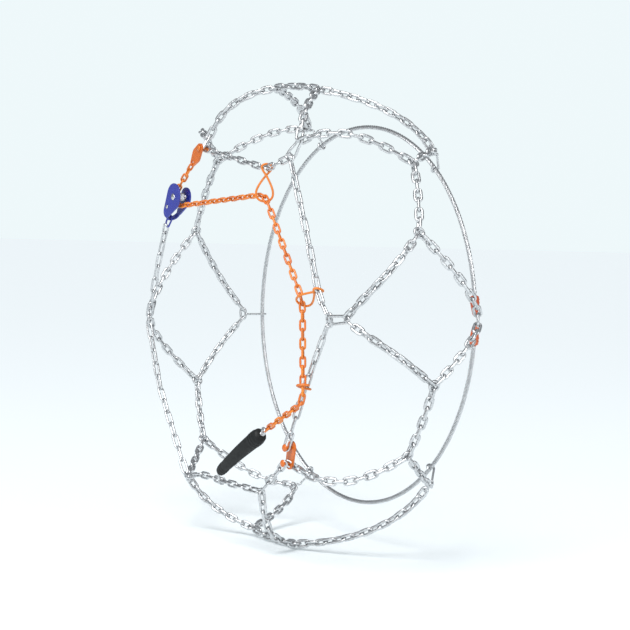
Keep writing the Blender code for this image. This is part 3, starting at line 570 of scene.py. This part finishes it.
def map_range(nodes, links, source, low, high):
    made = nodes.new("ShaderNodeMapRange")
    made.inputs["To Min"].default_value = low
    made.inputs["To Max"].default_value = high
    links.new(source, made.inputs["Value"])
    return made.outputs["Result"]


def link_tone(nodes):
    made = nodes.new("ShaderNodeAttribute")
    made.attribute_name = "tone"
    return made.outputs["Fac"]


def bump(nodes, links, source, strength, distance):
    made = nodes.new("ShaderNodeBump")
    made.inputs["Strength"].default_value = strength
    made.inputs["Distance"].default_value = distance
    links.new(source, made.inputs["Height"])
    return made.outputs["Normal"]


def zinc(name):
    """Plated steel: each link has its own tone, under a dull mottle."""
    made, nodes, links, shader = shader_nodes(name)
    mottle = noise(nodes, links, 420, 5)
    per_link = ramp(nodes, links, link_tone(nodes), [(0, (0.52, 0.53, 0.54)), (1, (0.72, 0.73, 0.74))])
    dull = ramp(nodes, links, mottle, [(0.38, (0.40, 0.41, 0.42)), (0.62, (0.84, 0.85, 0.86))])
    base = mix(nodes, links, 0.45, per_link, dull)
    links.new(base, shader.inputs["Base Color"])
    shader.inputs["Metallic"].default_value = 1.0
    links.new(map_range(nodes, links, noise(nodes, links, 260, 4), 0.20, 0.46), shader.inputs["Roughness"])
    links.new(bump(nodes, links, noise(nodes, links, 900, 3), 0.25, 0.0003), shader.inputs["Normal"])
    return made


BARE_STEEL = (0.42, 0.43, 0.45, 1)


def coating(name, deep, bright, chips=0.70):
    """A coloured coat on steel, with faint unevenness, fine orange peel and a few worn specks.

    The higher chips is, the fewer the specks.
    """
    made, nodes, links, shader = shader_nodes(name)
    even = mix(nodes, links, link_tone(nodes), (*deep, 1), (*bright, 1))
    cloudy = ramp(nodes, links, noise(nodes, links, 140, 3), [(0.3, (0.72, 0.72, 0.72)), (0.7, (1, 1, 1))])
    body = mix(nodes, links, 0.6, even, cloudy, "MULTIPLY")
    specks = noise(nodes, links, 520, 6, 0.7)
    worn = ramp(nodes, links, specks, [(chips, (0, 0, 0)), (chips + 0.03, (1, 1, 1))])
    links.new(mix(nodes, links, worn, body, BARE_STEEL), shader.inputs["Base Color"])
    links.new(map_range(nodes, links, worn, 0.0, 0.9), shader.inputs["Metallic"])
    links.new(map_range(nodes, links, noise(nodes, links, 300, 3), 0.26, 0.44), shader.inputs["Roughness"])
    links.new(bump(nodes, links, noise(nodes, links, 1100, 2), 0.16, 0.0002), shader.inputs["Normal"])
    shader.inputs["Coat Weight"].default_value = 0.35
    shader.inputs["Coat Roughness"].default_value = 0.18
    return made


def rubber():
    """Black rubber with a little dust."""
    made, nodes, links, shader = shader_nodes("rubber")
    shades = [(0.35, (0.004, 0.005, 0.005)), (0.75, (0.012, 0.014, 0.014))]
    dust = ramp(nodes, links, noise(nodes, links, 60, 6), shades)
    links.new(dust, shader.inputs["Base Color"])
    links.new(map_range(nodes, links, noise(nodes, links, 180, 4), 0.42, 0.66), shader.inputs["Roughness"])
    shader.inputs["Specular IOR Level"].default_value = 0.30
    links.new(bump(nodes, links, noise(nodes, links, 1500, 3), 0.3, 0.0003), shader.inputs["Normal"])
    return made


MATERIALS = {
    "zinc": zinc("zinc"),
    "orange_paint": coating("orange_coating", (0.70, 0.150, 0.010), (0.92, 0.27, 0.020)),
    "blue_paint": coating("blue_coating", (0.016, 0.030, 0.34), (0.030, 0.055, 0.52), chips=0.76),
    "red_paint": coating("red_coating", (0.50, 0.065, 0.014), (0.66, 0.12, 0.026)),
    "black_rubber": rubber(),
    "cable_steel": zinc("cable_steel"),
}


def dress(obj, finish):
    """Gives an object the material for its finish."""
    obj.data.materials.clear()
    obj.data.materials.append(MATERIALS[finish])


# ---------------------------------------------------------------- the net

NODE_RADIUS = 0.0066  # of a junction ring's wire middle
NODE_STRETCH = 1.08  # it is this much longer than it is wide
NODE_WIRE = 0.0020
NODE_TRIM = 0.0046  # a run's last link ends this far from the middle of its junction ring
APEX_TRIM = 0.0046  # and from an outer corner
BRIDGE_TRIM = 0.0075  # and a side run's, from its bridging link's middle
RATCHET_TRIM = -0.0036  # the side chain's last link reaches past its route, into the ratchet's link
SIDE_LEAN = 40  # degrees that the long links of the side chain lean about their own line
BRIDGE_TURN = 20  # degrees that a bridging link turns from lying flat to the wheel's side
# Degrees more that a run's end link turns, by what holds it.
END_STAND, APEX_STAND, CLOSURE_STAND, STUD_STAND = 35, 20, 30, 45
RUN_TRIMS, RUN_STAND = (NODE_TRIM, NODE_TRIM), (END_STAND, END_STAND)  # of a run between two junctions
RING_WIRE = 0.0019
RING_REACH = 0.0026  # a corner ring's far end, past the strands that it holds
# A corner ring's bends: how far past its near end, and half its width there.
RING_BENDS = ((0.0020, 0.0040), (0.0069, 0.0052), (0.0104, 0.0056))
SIDE_RING_LEVEL = (0.0006, 0.0024)  # how far past the side chain its ring starts, and its sides stand off
LOW_RING_LEVEL = 0.0020  # height above its closure of a ring that shares a stud with the side chain


def junction_ring(build, angle, y):
    """The ring that joins three runs of chain on the tread."""
    centre, normal = on_tyre(*crown(angle, y))
    side = unit(np.cross(normal, (0.0, 1.0, 0.0)))
    other = np.cross(normal, side)
    turns = np.linspace(0, tau, 23, endpoint=False)
    points = [centre + NODE_RADIUS * (side * cos(t) + NODE_STRETCH * other * sin(t)) for t in turns]
    build.put(*tube(points, NODE_WIRE, closed=True))


def make_net():
    """The six diamonds and the runs between them."""
    for hour, spot in DIAMONDS.items():
        ccw, cw = crown(*spot["ccw"]), crown(*spot["cw"])
        inner = wall(spot["inner"], INNER_CORNER_RADIUS, 1)
        if spot["outer"]:
            outer = wall(*spot["outer"])
            build = Build()
            trims, stand = (NODE_TRIM, APEX_TRIM), (END_STAND, APEX_STAND)
            for end in (ccw, cw):
                strand(build, leg_on_tyre(end, outer), TREAD, trims, stand=stand)
            build.stand_in(f"outer_v_{hour:02}", "links")
        path = round_corner(leg_on_tyre(ccw, inner), leg_on_tyre(inner, cw))
        apex = nearest(path, on_tyre(*inner)[0])
        build = Build()
        ends = [apex + side * TREAD[1] / 2 for side in (-1, 1)]
        strand(build, path, TREAD, RUN_TRIMS, ends, RUN_STAND, flat=apex)
        for corner in ("ccw", "cw"):
            junction_ring(build, *spot[corner])
        build.stand_in(f"inner_v_{hour:02}", "links")
    make_open_diamond()
    hours = list(DIAMONDS)
    for hour, following in zip(hours, hours[1:] + hours[:1]):
        start, end = crown(*DIAMONDS[hour]["cw"]), crown(*DIAMONDS[following]["ccw"])
        if end[0] > start[0]:
            end = (end[0] - 360, end[1])
        build = Build()
        strand(build, leg_on_tyre(start, end), TREAD, RUN_TRIMS, stand=RUN_STAND)
        build.stand_in(f"tread_run_{(hour + 1) % 12 or 12:02}", "links")


def bridge_frame(corner, before, after):
    """Middle, length direction and width direction of the side chain's link at a corner."""
    centre = on_face(corner)
    along = unit(unit(on_face(after) - centre) - unit(on_face(before) - centre))
    across = unit(np.cross(along, OUT))
    return centre, along, across * cos(radians(BRIDGE_TURN)) + OUT * sin(radians(BRIDGE_TURN))


def bridge(build, corner, before, after):
    """The link of the side chain at a corner, between the run from before and the run to after."""
    centre, along, lateral = bridge_frame(corner, before, after)
    build.put(*link(centre, along, lateral, 2 * BRIDGE_TRIM + SLACK, SIDE))


def make_open_diamond():
    """The five o'clock diamond is open: one strand ends at the closure, the other on the side chain."""
    spot = DIAMONDS[5]
    build = Build()
    path = leg_on_tyre(crown(*spot["ccw"]), wall(*CLOSURE_STRAND_END))
    strand(build, path, TREAD, (NODE_TRIM, 0.0), stand=(END_STAND, CLOSURE_STAND))
    stud = np.array(stud_level(CLOSURE_5, CLOSURE_5_LINE, CLOSURE_5_REACH, level=LOW_RING_LEVEL))
    end = path[0][-1]
    along = unit(end - stud)
    lateral = unit(np.cross(OUT, along))
    near = stud - along * (STUD_RADIUS + SLACK)
    build.put(*link((near + end) / 2, along, lateral, np.linalg.norm(end - near), SIDE))
    build.stand_in("outer_run_closure", "links")

    low_stud = stud_level(CLOSURE_5, CLOSURE_5_LINE, CLOSURE_5_REACH)
    centre, _, lateral = bridge_frame(SIDE_5_END, low_stud, SIDE_6)
    points, normals = leg_on_tyre(crown(*spot["cw"]), wall(*SPLIT_STRAND_END))
    outward = lateral if lateral @ (points[0] - centre) > 0 else -lateral
    keep = distance_along(points[::-1])[::-1] > SPLIT_STRAND_CUT
    points = np.vstack([points[keep], centre + outward * (SIDE[2] / 2 - SIDE[0] - LOOSE)])
    build = Build()
    path = (points, normals[: len(points)])
    strand(build, path, TREAD, (NODE_TRIM, 0.0), stand=(END_STAND, STUD_STAND))
    build.stand_in("outer_run_split", "links")


def make_side_chain():
    """The side chain's runs, each with the bridging link at its far corner."""
    upper, right, lower = side_paths()
    low_stud = stud_level(CLOSURE_5, CLOSURE_5_LINE, CLOSURE_5_REACH)
    short = smooth_path([low_stud, SIDE_5_END])
    below = smooth_path([SIDE_5_END, SIDE_6, SIDE_7_ABOVE, SIDE_7])
    left = smooth_path([SIDE_7, SIDE_7_BELOW, SIDE_8, SIDE_9])
    last = smooth_path([SIDE_9, SIDE_10, SIDE_10_ABOVE, SIDE_END])
    held = [[nearest(path, eye[0])] for eye, path in zip(EYES.values(), (upper, right, lower))]
    on_stud = -(STUD_RADIUS + LOOSE)
    run, ring, stud = BRIDGE_TRIM, END_STAND, -STUD_STAND
    hook = [nearest(below, HOOK_PLACE)]
    specs = [
        ("12", upper, (on_stud, run), held[0], (stud, ring), (SIDE_1, SIDE_12, SIDE_2)),
        ("02", right, (run, run), held[1], (ring, ring), (SIDE_3, SIDE_3_ABOVE, SIDE_4)),
        ("04", lower, (run, on_stud), held[2], (ring, stud), None),
        ("05", short, (on_stud, run), (), (stud, ring), (SIDE_5_END, low_stud, SIDE_6)),
        ("06", below, (run, run), hook, (ring, ring), (SIDE_7, SIDE_7_ABOVE, SIDE_7_BELOW)),
        ("08", left, (run, run), (), (ring, ring), (SIDE_9, SIDE_8, SIDE_10)),
        ("10", last, (run, RATCHET_TRIM), (), (ring, ring), None),
    ]
    for hour, path, trims, fixed, stand, corner in specs:
        build = Build()
        strand(build, path, SIDE, trims, fixed, stand=stand, lean=SIDE_LEAN)
        if corner:
            bridge(build, *corner)
        build.stand_in(f"side_run_{hour}", "links")


def corner_ring(name, hour, start, level, replaces=()):
    """The ring at an outer corner of the net: round the side chain or stud at start, and both strands.

    level says how far past start it begins, and how far its two sides stand off its middle plane there.
    """
    outer = wall(*DIAMONDS[hour]["outer"])
    corner = on_tyre(*outer)[0]
    held = []
    for end in ("ccw", "cw"):
        path = leg_on_tyre(outer, crown(*DIAMONDS[hour][end]))
        held.append(point_at(path, APEX_TRIM + RING_WIRE + SLACK)[0])
    along = unit(corner - start)
    lateral = held[0] - held[1]
    lateral = unit(lateral - along * (lateral @ along))
    front = np.cross(along, lateral)
    front = front if front @ OUT > 0 else -front
    reach = max((spot - corner) @ along for spot in held)
    legs = []
    for spot, side in zip(held, (1, -1)):
        leg = []
        for ahead, half in RING_BENDS[:2]:
            leg.append(start + along * (level[0] + ahead) + (lateral * half + front * level[1]) * side)
        ahead, half = RING_BENDS[2]
        leg += [(start + along * (level[0] + ahead) + lateral * half * side + spot) / 2, spot]
        legs.append(leg)
    points = [start + along * level[0], *legs[0], corner + along * (reach + RING_REACH), *legs[1][::-1]]
    build = Build()
    build.put(*tube(smooth_loop(points), RING_WIRE, closed=True))
    build.piece(name, "zinc", replaces=replaces)


def make_corner_rings():
    """A ring at each outer corner of the net, tied to the side chain or at eleven o'clock to a stud."""
    for hour, spot in {1: SIDE_1, 3: SIDE_3, 7: SIDE_7, 9: SIDE_9}.items():
        side_link = f"side_link_{hour:02}"
        corner_ring(f"{side_link}_wire", hour, on_face(spot), SIDE_RING_LEVEL, [side_link])
    stud = np.array(stud_level(CLOSURE_11, side=1, level=LOW_RING_LEVEL))
    corner_ring("closure_ring_11", 11, stud, (-(STUD_RADIUS + RING_WIRE + SLACK), 0.0))


def make_tension_chain():
    """The orange chain, with links that meet where the guide eyes hold it."""
    path = tension_path()
    held = [nearest(path, tension_spot) for _, tension_spot, _ in EYES.values()]
    build = Build()
    strand(build, path, ORANGE, TENSION_TRIMS, fixed=held, stand=(STUD_STAND, 0))
    build.stand_in("tension_chain", "links", "orange_paint")


# ---------------------------------------------------------------- fittings


def lathe(build, profile, origin, axis, sides=40):
    """A turned piece from its outer profile (radius, height along axis), closed at both ends on the axis."""
    axis = unit(axis)
    x = unit(np.cross(axis, (0.3, 0.5, 0.8)))
    y = np.cross(axis, x)
    verts, faces = [], []
    around = np.linspace(0, tau, sides, endpoint=False)
    for radius, height in profile[1:-1]:
        verts += [origin + axis * height + (x * cos(t) + y * sin(t)) * radius for t in around]
    rows = len(profile) - 2
    for i in range(rows - 1):
        for k in range(sides):
            m = (k + 1) % sides
            faces.append((i * sides + k, (i + 1) * sides + k, (i + 1) * sides + m, i * sides + m))
    verts += [origin + axis * profile[0][1], origin + axis * profile[-1][1]]
    first, last = len(verts) - 2, len(verts) - 1
    for k in range(sides):
        m = (k + 1) % sides
        faces.append((first, k, m))
        faces.append((last, (rows - 1) * sides + m, (rows - 1) * sides + k))
    build.put(np.array(verts), faces)


def dome(radius, height, low, steps=6):
    """Profile of a dome from its top at low + height down to its rim at low."""
    return [(radius * sin(t), low + height * cos(t)) for t in np.linspace(0, pi / 2, steps)]


def make_guide_eyes():
    """Figure-eight wires: the small loop holds the side chain, and the large one the tension chain."""
    chain_path = tension_path()
    for (hour, (side_spot, tension_spot, lean)), side_path in zip(EYES.items(), side_paths()):
        side = point_at(side_path, nearest(side_path, side_spot))[0]
        tension = point_at(chain_path, nearest(chain_path, tension_spot))[0]
        axis = unit(tension - side)
        apart = np.linalg.norm(tension - side)
        normal = unit(np.array(lean) - axis * (np.array(lean) @ axis))
        across = np.cross(normal, axis)
        cross, small_width, large_width, reach = EYE_SHAPES[hour]
        crossing = side + axis * cross
        points = []
        for t in np.linspace(0, tau, 72, endpoint=False):
            large = sin(t) > 0
            length = apart - cross + reach if large else cross + EYE_REACH_SIDE
            width = large_width if large else small_width
            place = axis * length * sin(t) + across * width * sin(2 * t) + normal * EYE_CROSSING * cos(t)
            points.append(crossing + place)
        build = Build()
        build.put(*tube(points, EYE_WIRE, closed=True, sides=14))
        build.stand_in(f"guide_eye_{hour}", "wire", "orange_paint")


def make_studs():
    """The closures' studs, each with a domed head that keeps the links on."""
    low, high = -CLOSURE_THICK / 2 - FOOT_DEPTH, CLOSURE_THICK / 2 + STUD_LENGTH
    profile = dome(HEAD_RADIUS, HEAD_DOME, high)
    profile += [(radius, high - depth) for radius, depth in HEAD_UNDER]
    profile += [(radius, low + height) for radius, height in FOOT] + [(0, low)]
    lower = stud_level(CLOSURE_5, CLOSURE_5_LINE, CLOSURE_5_REACH)
    spots = {
        "closure_stud_11": (CLOSURE_11, -OUT),
        "closure_stud_05_upper": (CLOSURE_5, OUT),
        "closure_stud_05_lower": ((lower[0], CLOSURE_5[1], lower[2]), OUT),
    }
    for name, (spot, axis) in spots.items():
        build = Build()
        lathe(build, profile, np.array(spot), axis)
        build.stand_in(name, "head", "orange_paint")


def make_rivets():
    """The ratchet's axle and its pawl's pin, each with a domed and rolled head on both cheeks."""
    cheek = (CHEEK_APART + CHEEK) / 2 + SLACK
    turn = radians(RATCHET_LINE)
    axle = np.array((RATCHET_AXLE[0], RATCHET_Y, RATCHET_AXLE[1]))
    along, side = np.array((cos(turn), 0.0, sin(turn))), np.array((-sin(turn), 0.0, cos(turn)))
    pin = axle + along * PAWL_PIVOT[0] + side * PAWL_PIVOT[1]
    for name, spot, shaft, head in (("ratchet_axle", axle, *AXLE), ("pawl_pin", pin, *PAWL_PIN)):
        top = [(radius, cheek + height) for radius, height in dome(head[0], head[1], 0.0)]
        groove = [(share * head[0], cheek + level * head[1]) for share, level in RIVET_GROOVE]
        profile = [(0, cheek + head[1]), *groove[::-1], *top[2:], (head[0], cheek), (shaft, cheek)]
        profile += [(radius, -height) for radius, height in profile[::-1]]
        build = Build()
        lathe(build, profile, spot, OUT)
        build.stand_in(name, "rivet")


def make_rubber_tensioner():
    """A tapered rubber body with moulded ribs at its ends and a parting line, and its two wire hooks."""
    top, bottom = np.array(RUBBER_TOP), np.array(RUBBER_BOTTOM)
    along = unit(top - bottom)
    length = np.linalg.norm(top - bottom)
    across = unit(np.cross(OUT, along))
    out = np.cross(along, across)
    out = out if out @ OUT > 0 else -out
    verts = []
    for share in (1 - np.cos(np.linspace(RUBBER_END, pi - RUBBER_END, RUBBER_ROWS))) / 2:
        base = np.interp(share, RUBBER_SHARES, RUBBER_RADII)
        from_end = min(share, 1 - share) * length
        round_end = min(1.0, from_end / RUBBER_ROUND)
        radius = base * sqrt(1 - (1 - round_end) ** 2)
        for rib in RUBBER_RIBS:
            radius += RIB_HEIGHT * np.exp(-(((share - rib) * length / RIB_WIDTH) ** 2))
        centre = bottom + along * length * share + OUT * RUBBER_BOW * sin(pi * share)
        for t in np.linspace(0, tau, RUBBER_SIDES, endpoint=False):
            seam = SEAM_HEIGHT * np.exp(-((sin(t) / SEAM_WIDTH) ** 2))
            squash = 1 - RUBBER_FLAT * sin(t) ** 2
            verts.append(centre + (across * cos(t) + out * sin(t) * squash) * (radius + seam * round_end))
    build = Build()
    build.put(np.array(verts), ring_faces(RUBBER_ROWS, RUBBER_SIDES))
    build.piece("rubber_body", "black_rubber", "rubber_tensioner", ["rubber_tensioner"])

    ring = top + along * TOP_HOOK_REACH
    points = [top + along * reach for reach in TOP_HOOK_ROOT]
    for t in np.linspace(0.15, 5.0, 22):
        turn = across * TOP_HOOK_RADIUS * sin(t) - along * TOP_HOOK_RADIUS * cos(t)
        points.append(ring + turn + OUT * TOP_HOOK_RISE * t)
    build = Build()
    build.put(*tube(smooth_loop(points, False, 3), HOOK_WIRE, sides=14))
    radius, height, high, low = FERRULE
    lathe(build, [*dome(radius, height, high), (radius, low), (0, low)], top, along)
    build.piece("rubber_top_hook", "zinc", "rubber_tensioner", ["tensioner_top_hook"])

    held, reach = np.array(HOOK_PLACE), END_HOOK_RADIUS
    points = [bottom + along * END_HOOK_ROOT[0], bottom + along * END_HOOK_ROOT[1] + np.array(END_HOOK_BEND)]
    points += [held + np.array((0.0, -reach * cos(t), reach * sin(t))) for t in np.linspace(0.6, -4.4, 24)]
    build = Build()
    build.put(*tube(smooth_loop(points, False, 3), EYE_WIRE, sides=14))
    build.piece("rubber_end_hook", "zinc", "rubber_tensioner", ["tensioner_end_hook"])


def hoop_point(angle, radius=HOOP_RADIUS, y=HOOP_Y):
    turn = radians(angle)
    return np.array((radius * cos(turn), y, radius * sin(turn)))


def make_cable():
    """The hoop: six strands laid round a core."""
    low, high = HOOP_ENDS["upper"], HOOP_ENDS["lower"] + 360
    length = radians(high - low) * HOOP_RADIUS
    count = int(length / CABLE_STEP)
    strand_radius = CABLE_RADIUS / 3
    build = Build()
    angles = np.linspace(low, high, count)
    centres = np.array([hoop_point(a) for a in angles])
    outward = np.array([hoop_point(a, 1.0, 0.0) for a in angles])
    build.put(*tube(centres[::3], strand_radius * CORE_SHARE, sides=6), tone=0.2)
    for k in range(CABLE_STRANDS):
        phase = tau * k / CABLE_STRANDS + np.linspace(0, tau * length / CABLE_LAY, count)
        side = outward * np.cos(phase)[:, None] + np.array((0.0, 1.0, 0.0)) * np.sin(phase)[:, None]
        build.put(*tube(centres + side * strand_radius * 2, strand_radius, sides=6), tone=0.3 + 0.1 * k)
    build.piece("cable_strands", "cable_steel", replaces=["inner_cable"])


def make_inner_hooks():
    """The S-hooks between the hoop and the net's inner corners."""
    ring = CABLE_RADIUS + INNER_HOOK_WIRE + 2 * SLACK
    away = np.array((0.0, 1.0, 0.0))
    for hour in INNER_HOOKS:
        angle = DIAMONDS[hour]["inner"]
        centre, outward = hoop_point(angle), hoop_point(angle, 1.0, 0.0)
        corner, normal = on_tyre(*wall(angle, INNER_CORNER_RADIUS, 1))
        radial = unit(outward - normal * (outward @ normal))
        leg = corner - radial * (TREAD[2] - TREAD[0]) / 2
        bend = TREAD[0] / 2 + INNER_HOOK_WIRE + SLACK
        points = [centre + ring * (outward * cos(t) + away * sin(t)) for t in np.linspace(5.7, 0.9, 20)]
        points += [leg + bend * (normal * sin(t) - radial * cos(t)) for t in np.linspace(0.7, 3.5, 10)]
        build = Build()
        build.put(*tube(smooth_loop(points, False, 3), INNER_HOOK_WIRE, sides=12))
        build.stand_in(f"inner_hook_{hour:02}", "wire")


def make_cable_hooks():
    """The coated hooks on the hoop's two ends: a sleeve with collars that narrows to a hook."""
    sleeve = degrees(SLEEVE_LENGTH / HOOP_RADIUS)
    for name, toward in {"upper": -sleeve, "lower": sleeve}.items():
        angle = HOOP_ENDS[name]
        spots = [hoop_point(angle + toward * share) for share in SLEEVE_SHARES]
        for radius in np.linspace(END_HOOK_START, END_HOOK_TIP, len(END_HOOK_RADII) - len(spots)):
            spots.append(on_tyre(*wall(angle + toward * END_HOOK_TURN, radius, 1), END_HOOK_LIFT)[0])
        path = smooth_loop(spots, False)
        places = np.linspace(0, len(END_HOOK_RADII) - 1, len(path))
        swell = np.interp(places, range(len(END_HOOK_RADII)), END_HOOK_RADII)
        for collar in COLLARS:
            swell = swell + COLLAR_HEIGHT * np.exp(-(((places - collar) / COLLAR_WIDTH) ** 2))
        build = Build()
        build.put(*tube(path, 1.0, sides=24, swell=swell))
        build.stand_in(f"cable_hook_{name}", "body", "red_paint", f"cable_hook_{name}")


# ---------------------------------------------------------------- stage


FLOOR_SIZE = 60.0
FLOOR_COLOUR = (0.86, 0.90, 0.92, 1)
FLOOR_GLOW = 0.17  # brings the floor up to the backdrop's brightness
GLOW_COLOUR = (0.80, 0.92, 0.94, 1)
BACKDROP_COLOUR = (0.86, 0.94, 0.96, 1)
STUDIO_COLOUR = (0.90, 0.95, 1.0, 1)
STUDIO_STRENGTH = 0.32
SUN_STRENGTH = 2.1
SUN_SPREAD = 30  # degrees
SUN_PLACE = (0.35, -0.55, 1.0)
SOFT_BOXES = {"key": ((0.9, -2.6, 1.6), (1.2, 1.2), 26), "side": ((3.0, 0.6, 0.9), (0.8, 1.6), 22)}
CAMERA_AZIMUTH, CAMERA_ELEVATION, CAMERA_ROLL = 57.6685, 2.8237, 1.543  # degrees
CAMERA_DISTANCE = 2.3976
CAMERA_LENS, CAMERA_SENSOR = 92.46, 36
CAMERA_SHIFT = 0.0238


def facing_centre(place):
    return (-Vector(place)).to_track_quat("-Z", "Y").to_euler()


def area_light(name, place, size, power):
    data = bpy.data.lights.new(name, "AREA")
    data.shape = "RECTANGLE"
    data.size, data.size_y = size
    data.energy = power
    obj = bpy.data.objects.new(name, data)
    bpy.context.scene.collection.objects.link(obj)
    obj.location = place
    obj.rotation_euler = facing_centre(place)


def make_stage():
    """A pale floor, a soft sun, two soft boxes, and a pale studio that the metal mirrors dimmer."""
    mesh = bpy.data.meshes.new("floor")
    bm = bmesh.new()
    bmesh.ops.create_grid(bm, x_segments=1, y_segments=1, size=FLOOR_SIZE)
    bm.to_mesh(mesh)
    bm.free()
    floor = bpy.data.objects.new("floor", mesh)
    floor.location = (0, 0, CAD_BOUNDS[0][2])
    bpy.context.scene.collection.objects.link(floor)
    pale = bpy.data.materials.new("pale_floor")
    pale.use_nodes = True
    shader = pale.node_tree.nodes["Principled BSDF"]
    shader.inputs["Base Color"].default_value = FLOOR_COLOUR
    shader.inputs["Emission Color"].default_value = GLOW_COLOUR
    shader.inputs["Emission Strength"].default_value = FLOOR_GLOW
    shader.inputs["Roughness"].default_value = 0.9
    shader.inputs["Specular IOR Level"].default_value = 0.1
    floor.data.materials.append(pale)

    world = bpy.data.worlds.new("studio")
    bpy.context.scene.world = world
    world.use_nodes = True
    nodes, links = world.node_tree.nodes, world.node_tree.links
    seen, lit = nodes["Background"], nodes.new("ShaderNodeBackground")
    seen.inputs["Color"].default_value = BACKDROP_COLOUR
    lit.inputs["Color"].default_value = STUDIO_COLOUR
    lit.inputs["Strength"].default_value = STUDIO_STRENGTH
    path, blend = nodes.new("ShaderNodeLightPath"), nodes.new("ShaderNodeMixShader")
    links.new(path.outputs["Is Camera Ray"], blend.inputs["Fac"])
    links.new(lit.outputs["Background"], blend.inputs[1])
    links.new(seen.outputs["Background"], blend.inputs[2])
    links.new(blend.outputs["Shader"], nodes["World Output"].inputs["Surface"])
    data = bpy.data.lights.new("sun", "SUN")
    data.energy = SUN_STRENGTH
    data.angle = radians(SUN_SPREAD)
    sun = bpy.data.objects.new("sun", data)
    bpy.context.scene.collection.objects.link(sun)
    sun.rotation_euler = facing_centre(SUN_PLACE)
    for name, (place, size, power) in SOFT_BOXES.items():
        area_light(name, place, size, power)
    bpy.context.scene.view_settings.view_transform = "Standard"


def make_camera():
    """The photograph's view: from the outer side and the right, nearly level."""
    a, e, r = (radians(v) for v in (CAMERA_AZIMUTH, CAMERA_ELEVATION, CAMERA_ROLL))
    back = Vector((sin(a) * cos(e), -cos(a) * cos(e), sin(e)))
    right = Vector((cos(a), sin(a), 0))
    up = back.cross(right)
    rolled_right = right * cos(r) + up * sin(r)
    rolled_up = up * cos(r) - right * sin(r)
    data = bpy.data.cameras.new("camera")
    data.lens = CAMERA_LENS
    data.sensor_width = CAMERA_SENSOR
    data.shift_x = CAMERA_SHIFT
    camera = bpy.data.objects.new("camera", data)
    bpy.context.scene.collection.objects.link(camera)
    placed = Matrix((rolled_right, rolled_up, back)).transposed().to_4x4()
    placed.translation = back * CAMERA_DISTANCE
    camera.matrix_world = placed
    bpy.context.scene.camera = camera


make_camera()
make_net()
make_side_chain()
make_corner_rings()
make_tension_chain()
make_guide_eyes()
make_studs()
make_rivets()
make_rubber_tensioner()
make_cable()
make_inner_hooks()
make_cable_hooks()
shown = {n: o for n, o in frame["nodes"].items() if not o.hide_render}
for item in frame["record"]["subparts"]:
    if item["node"] in shown:
        dress(shown[item["node"]], item["material_slot"])
make_stage()
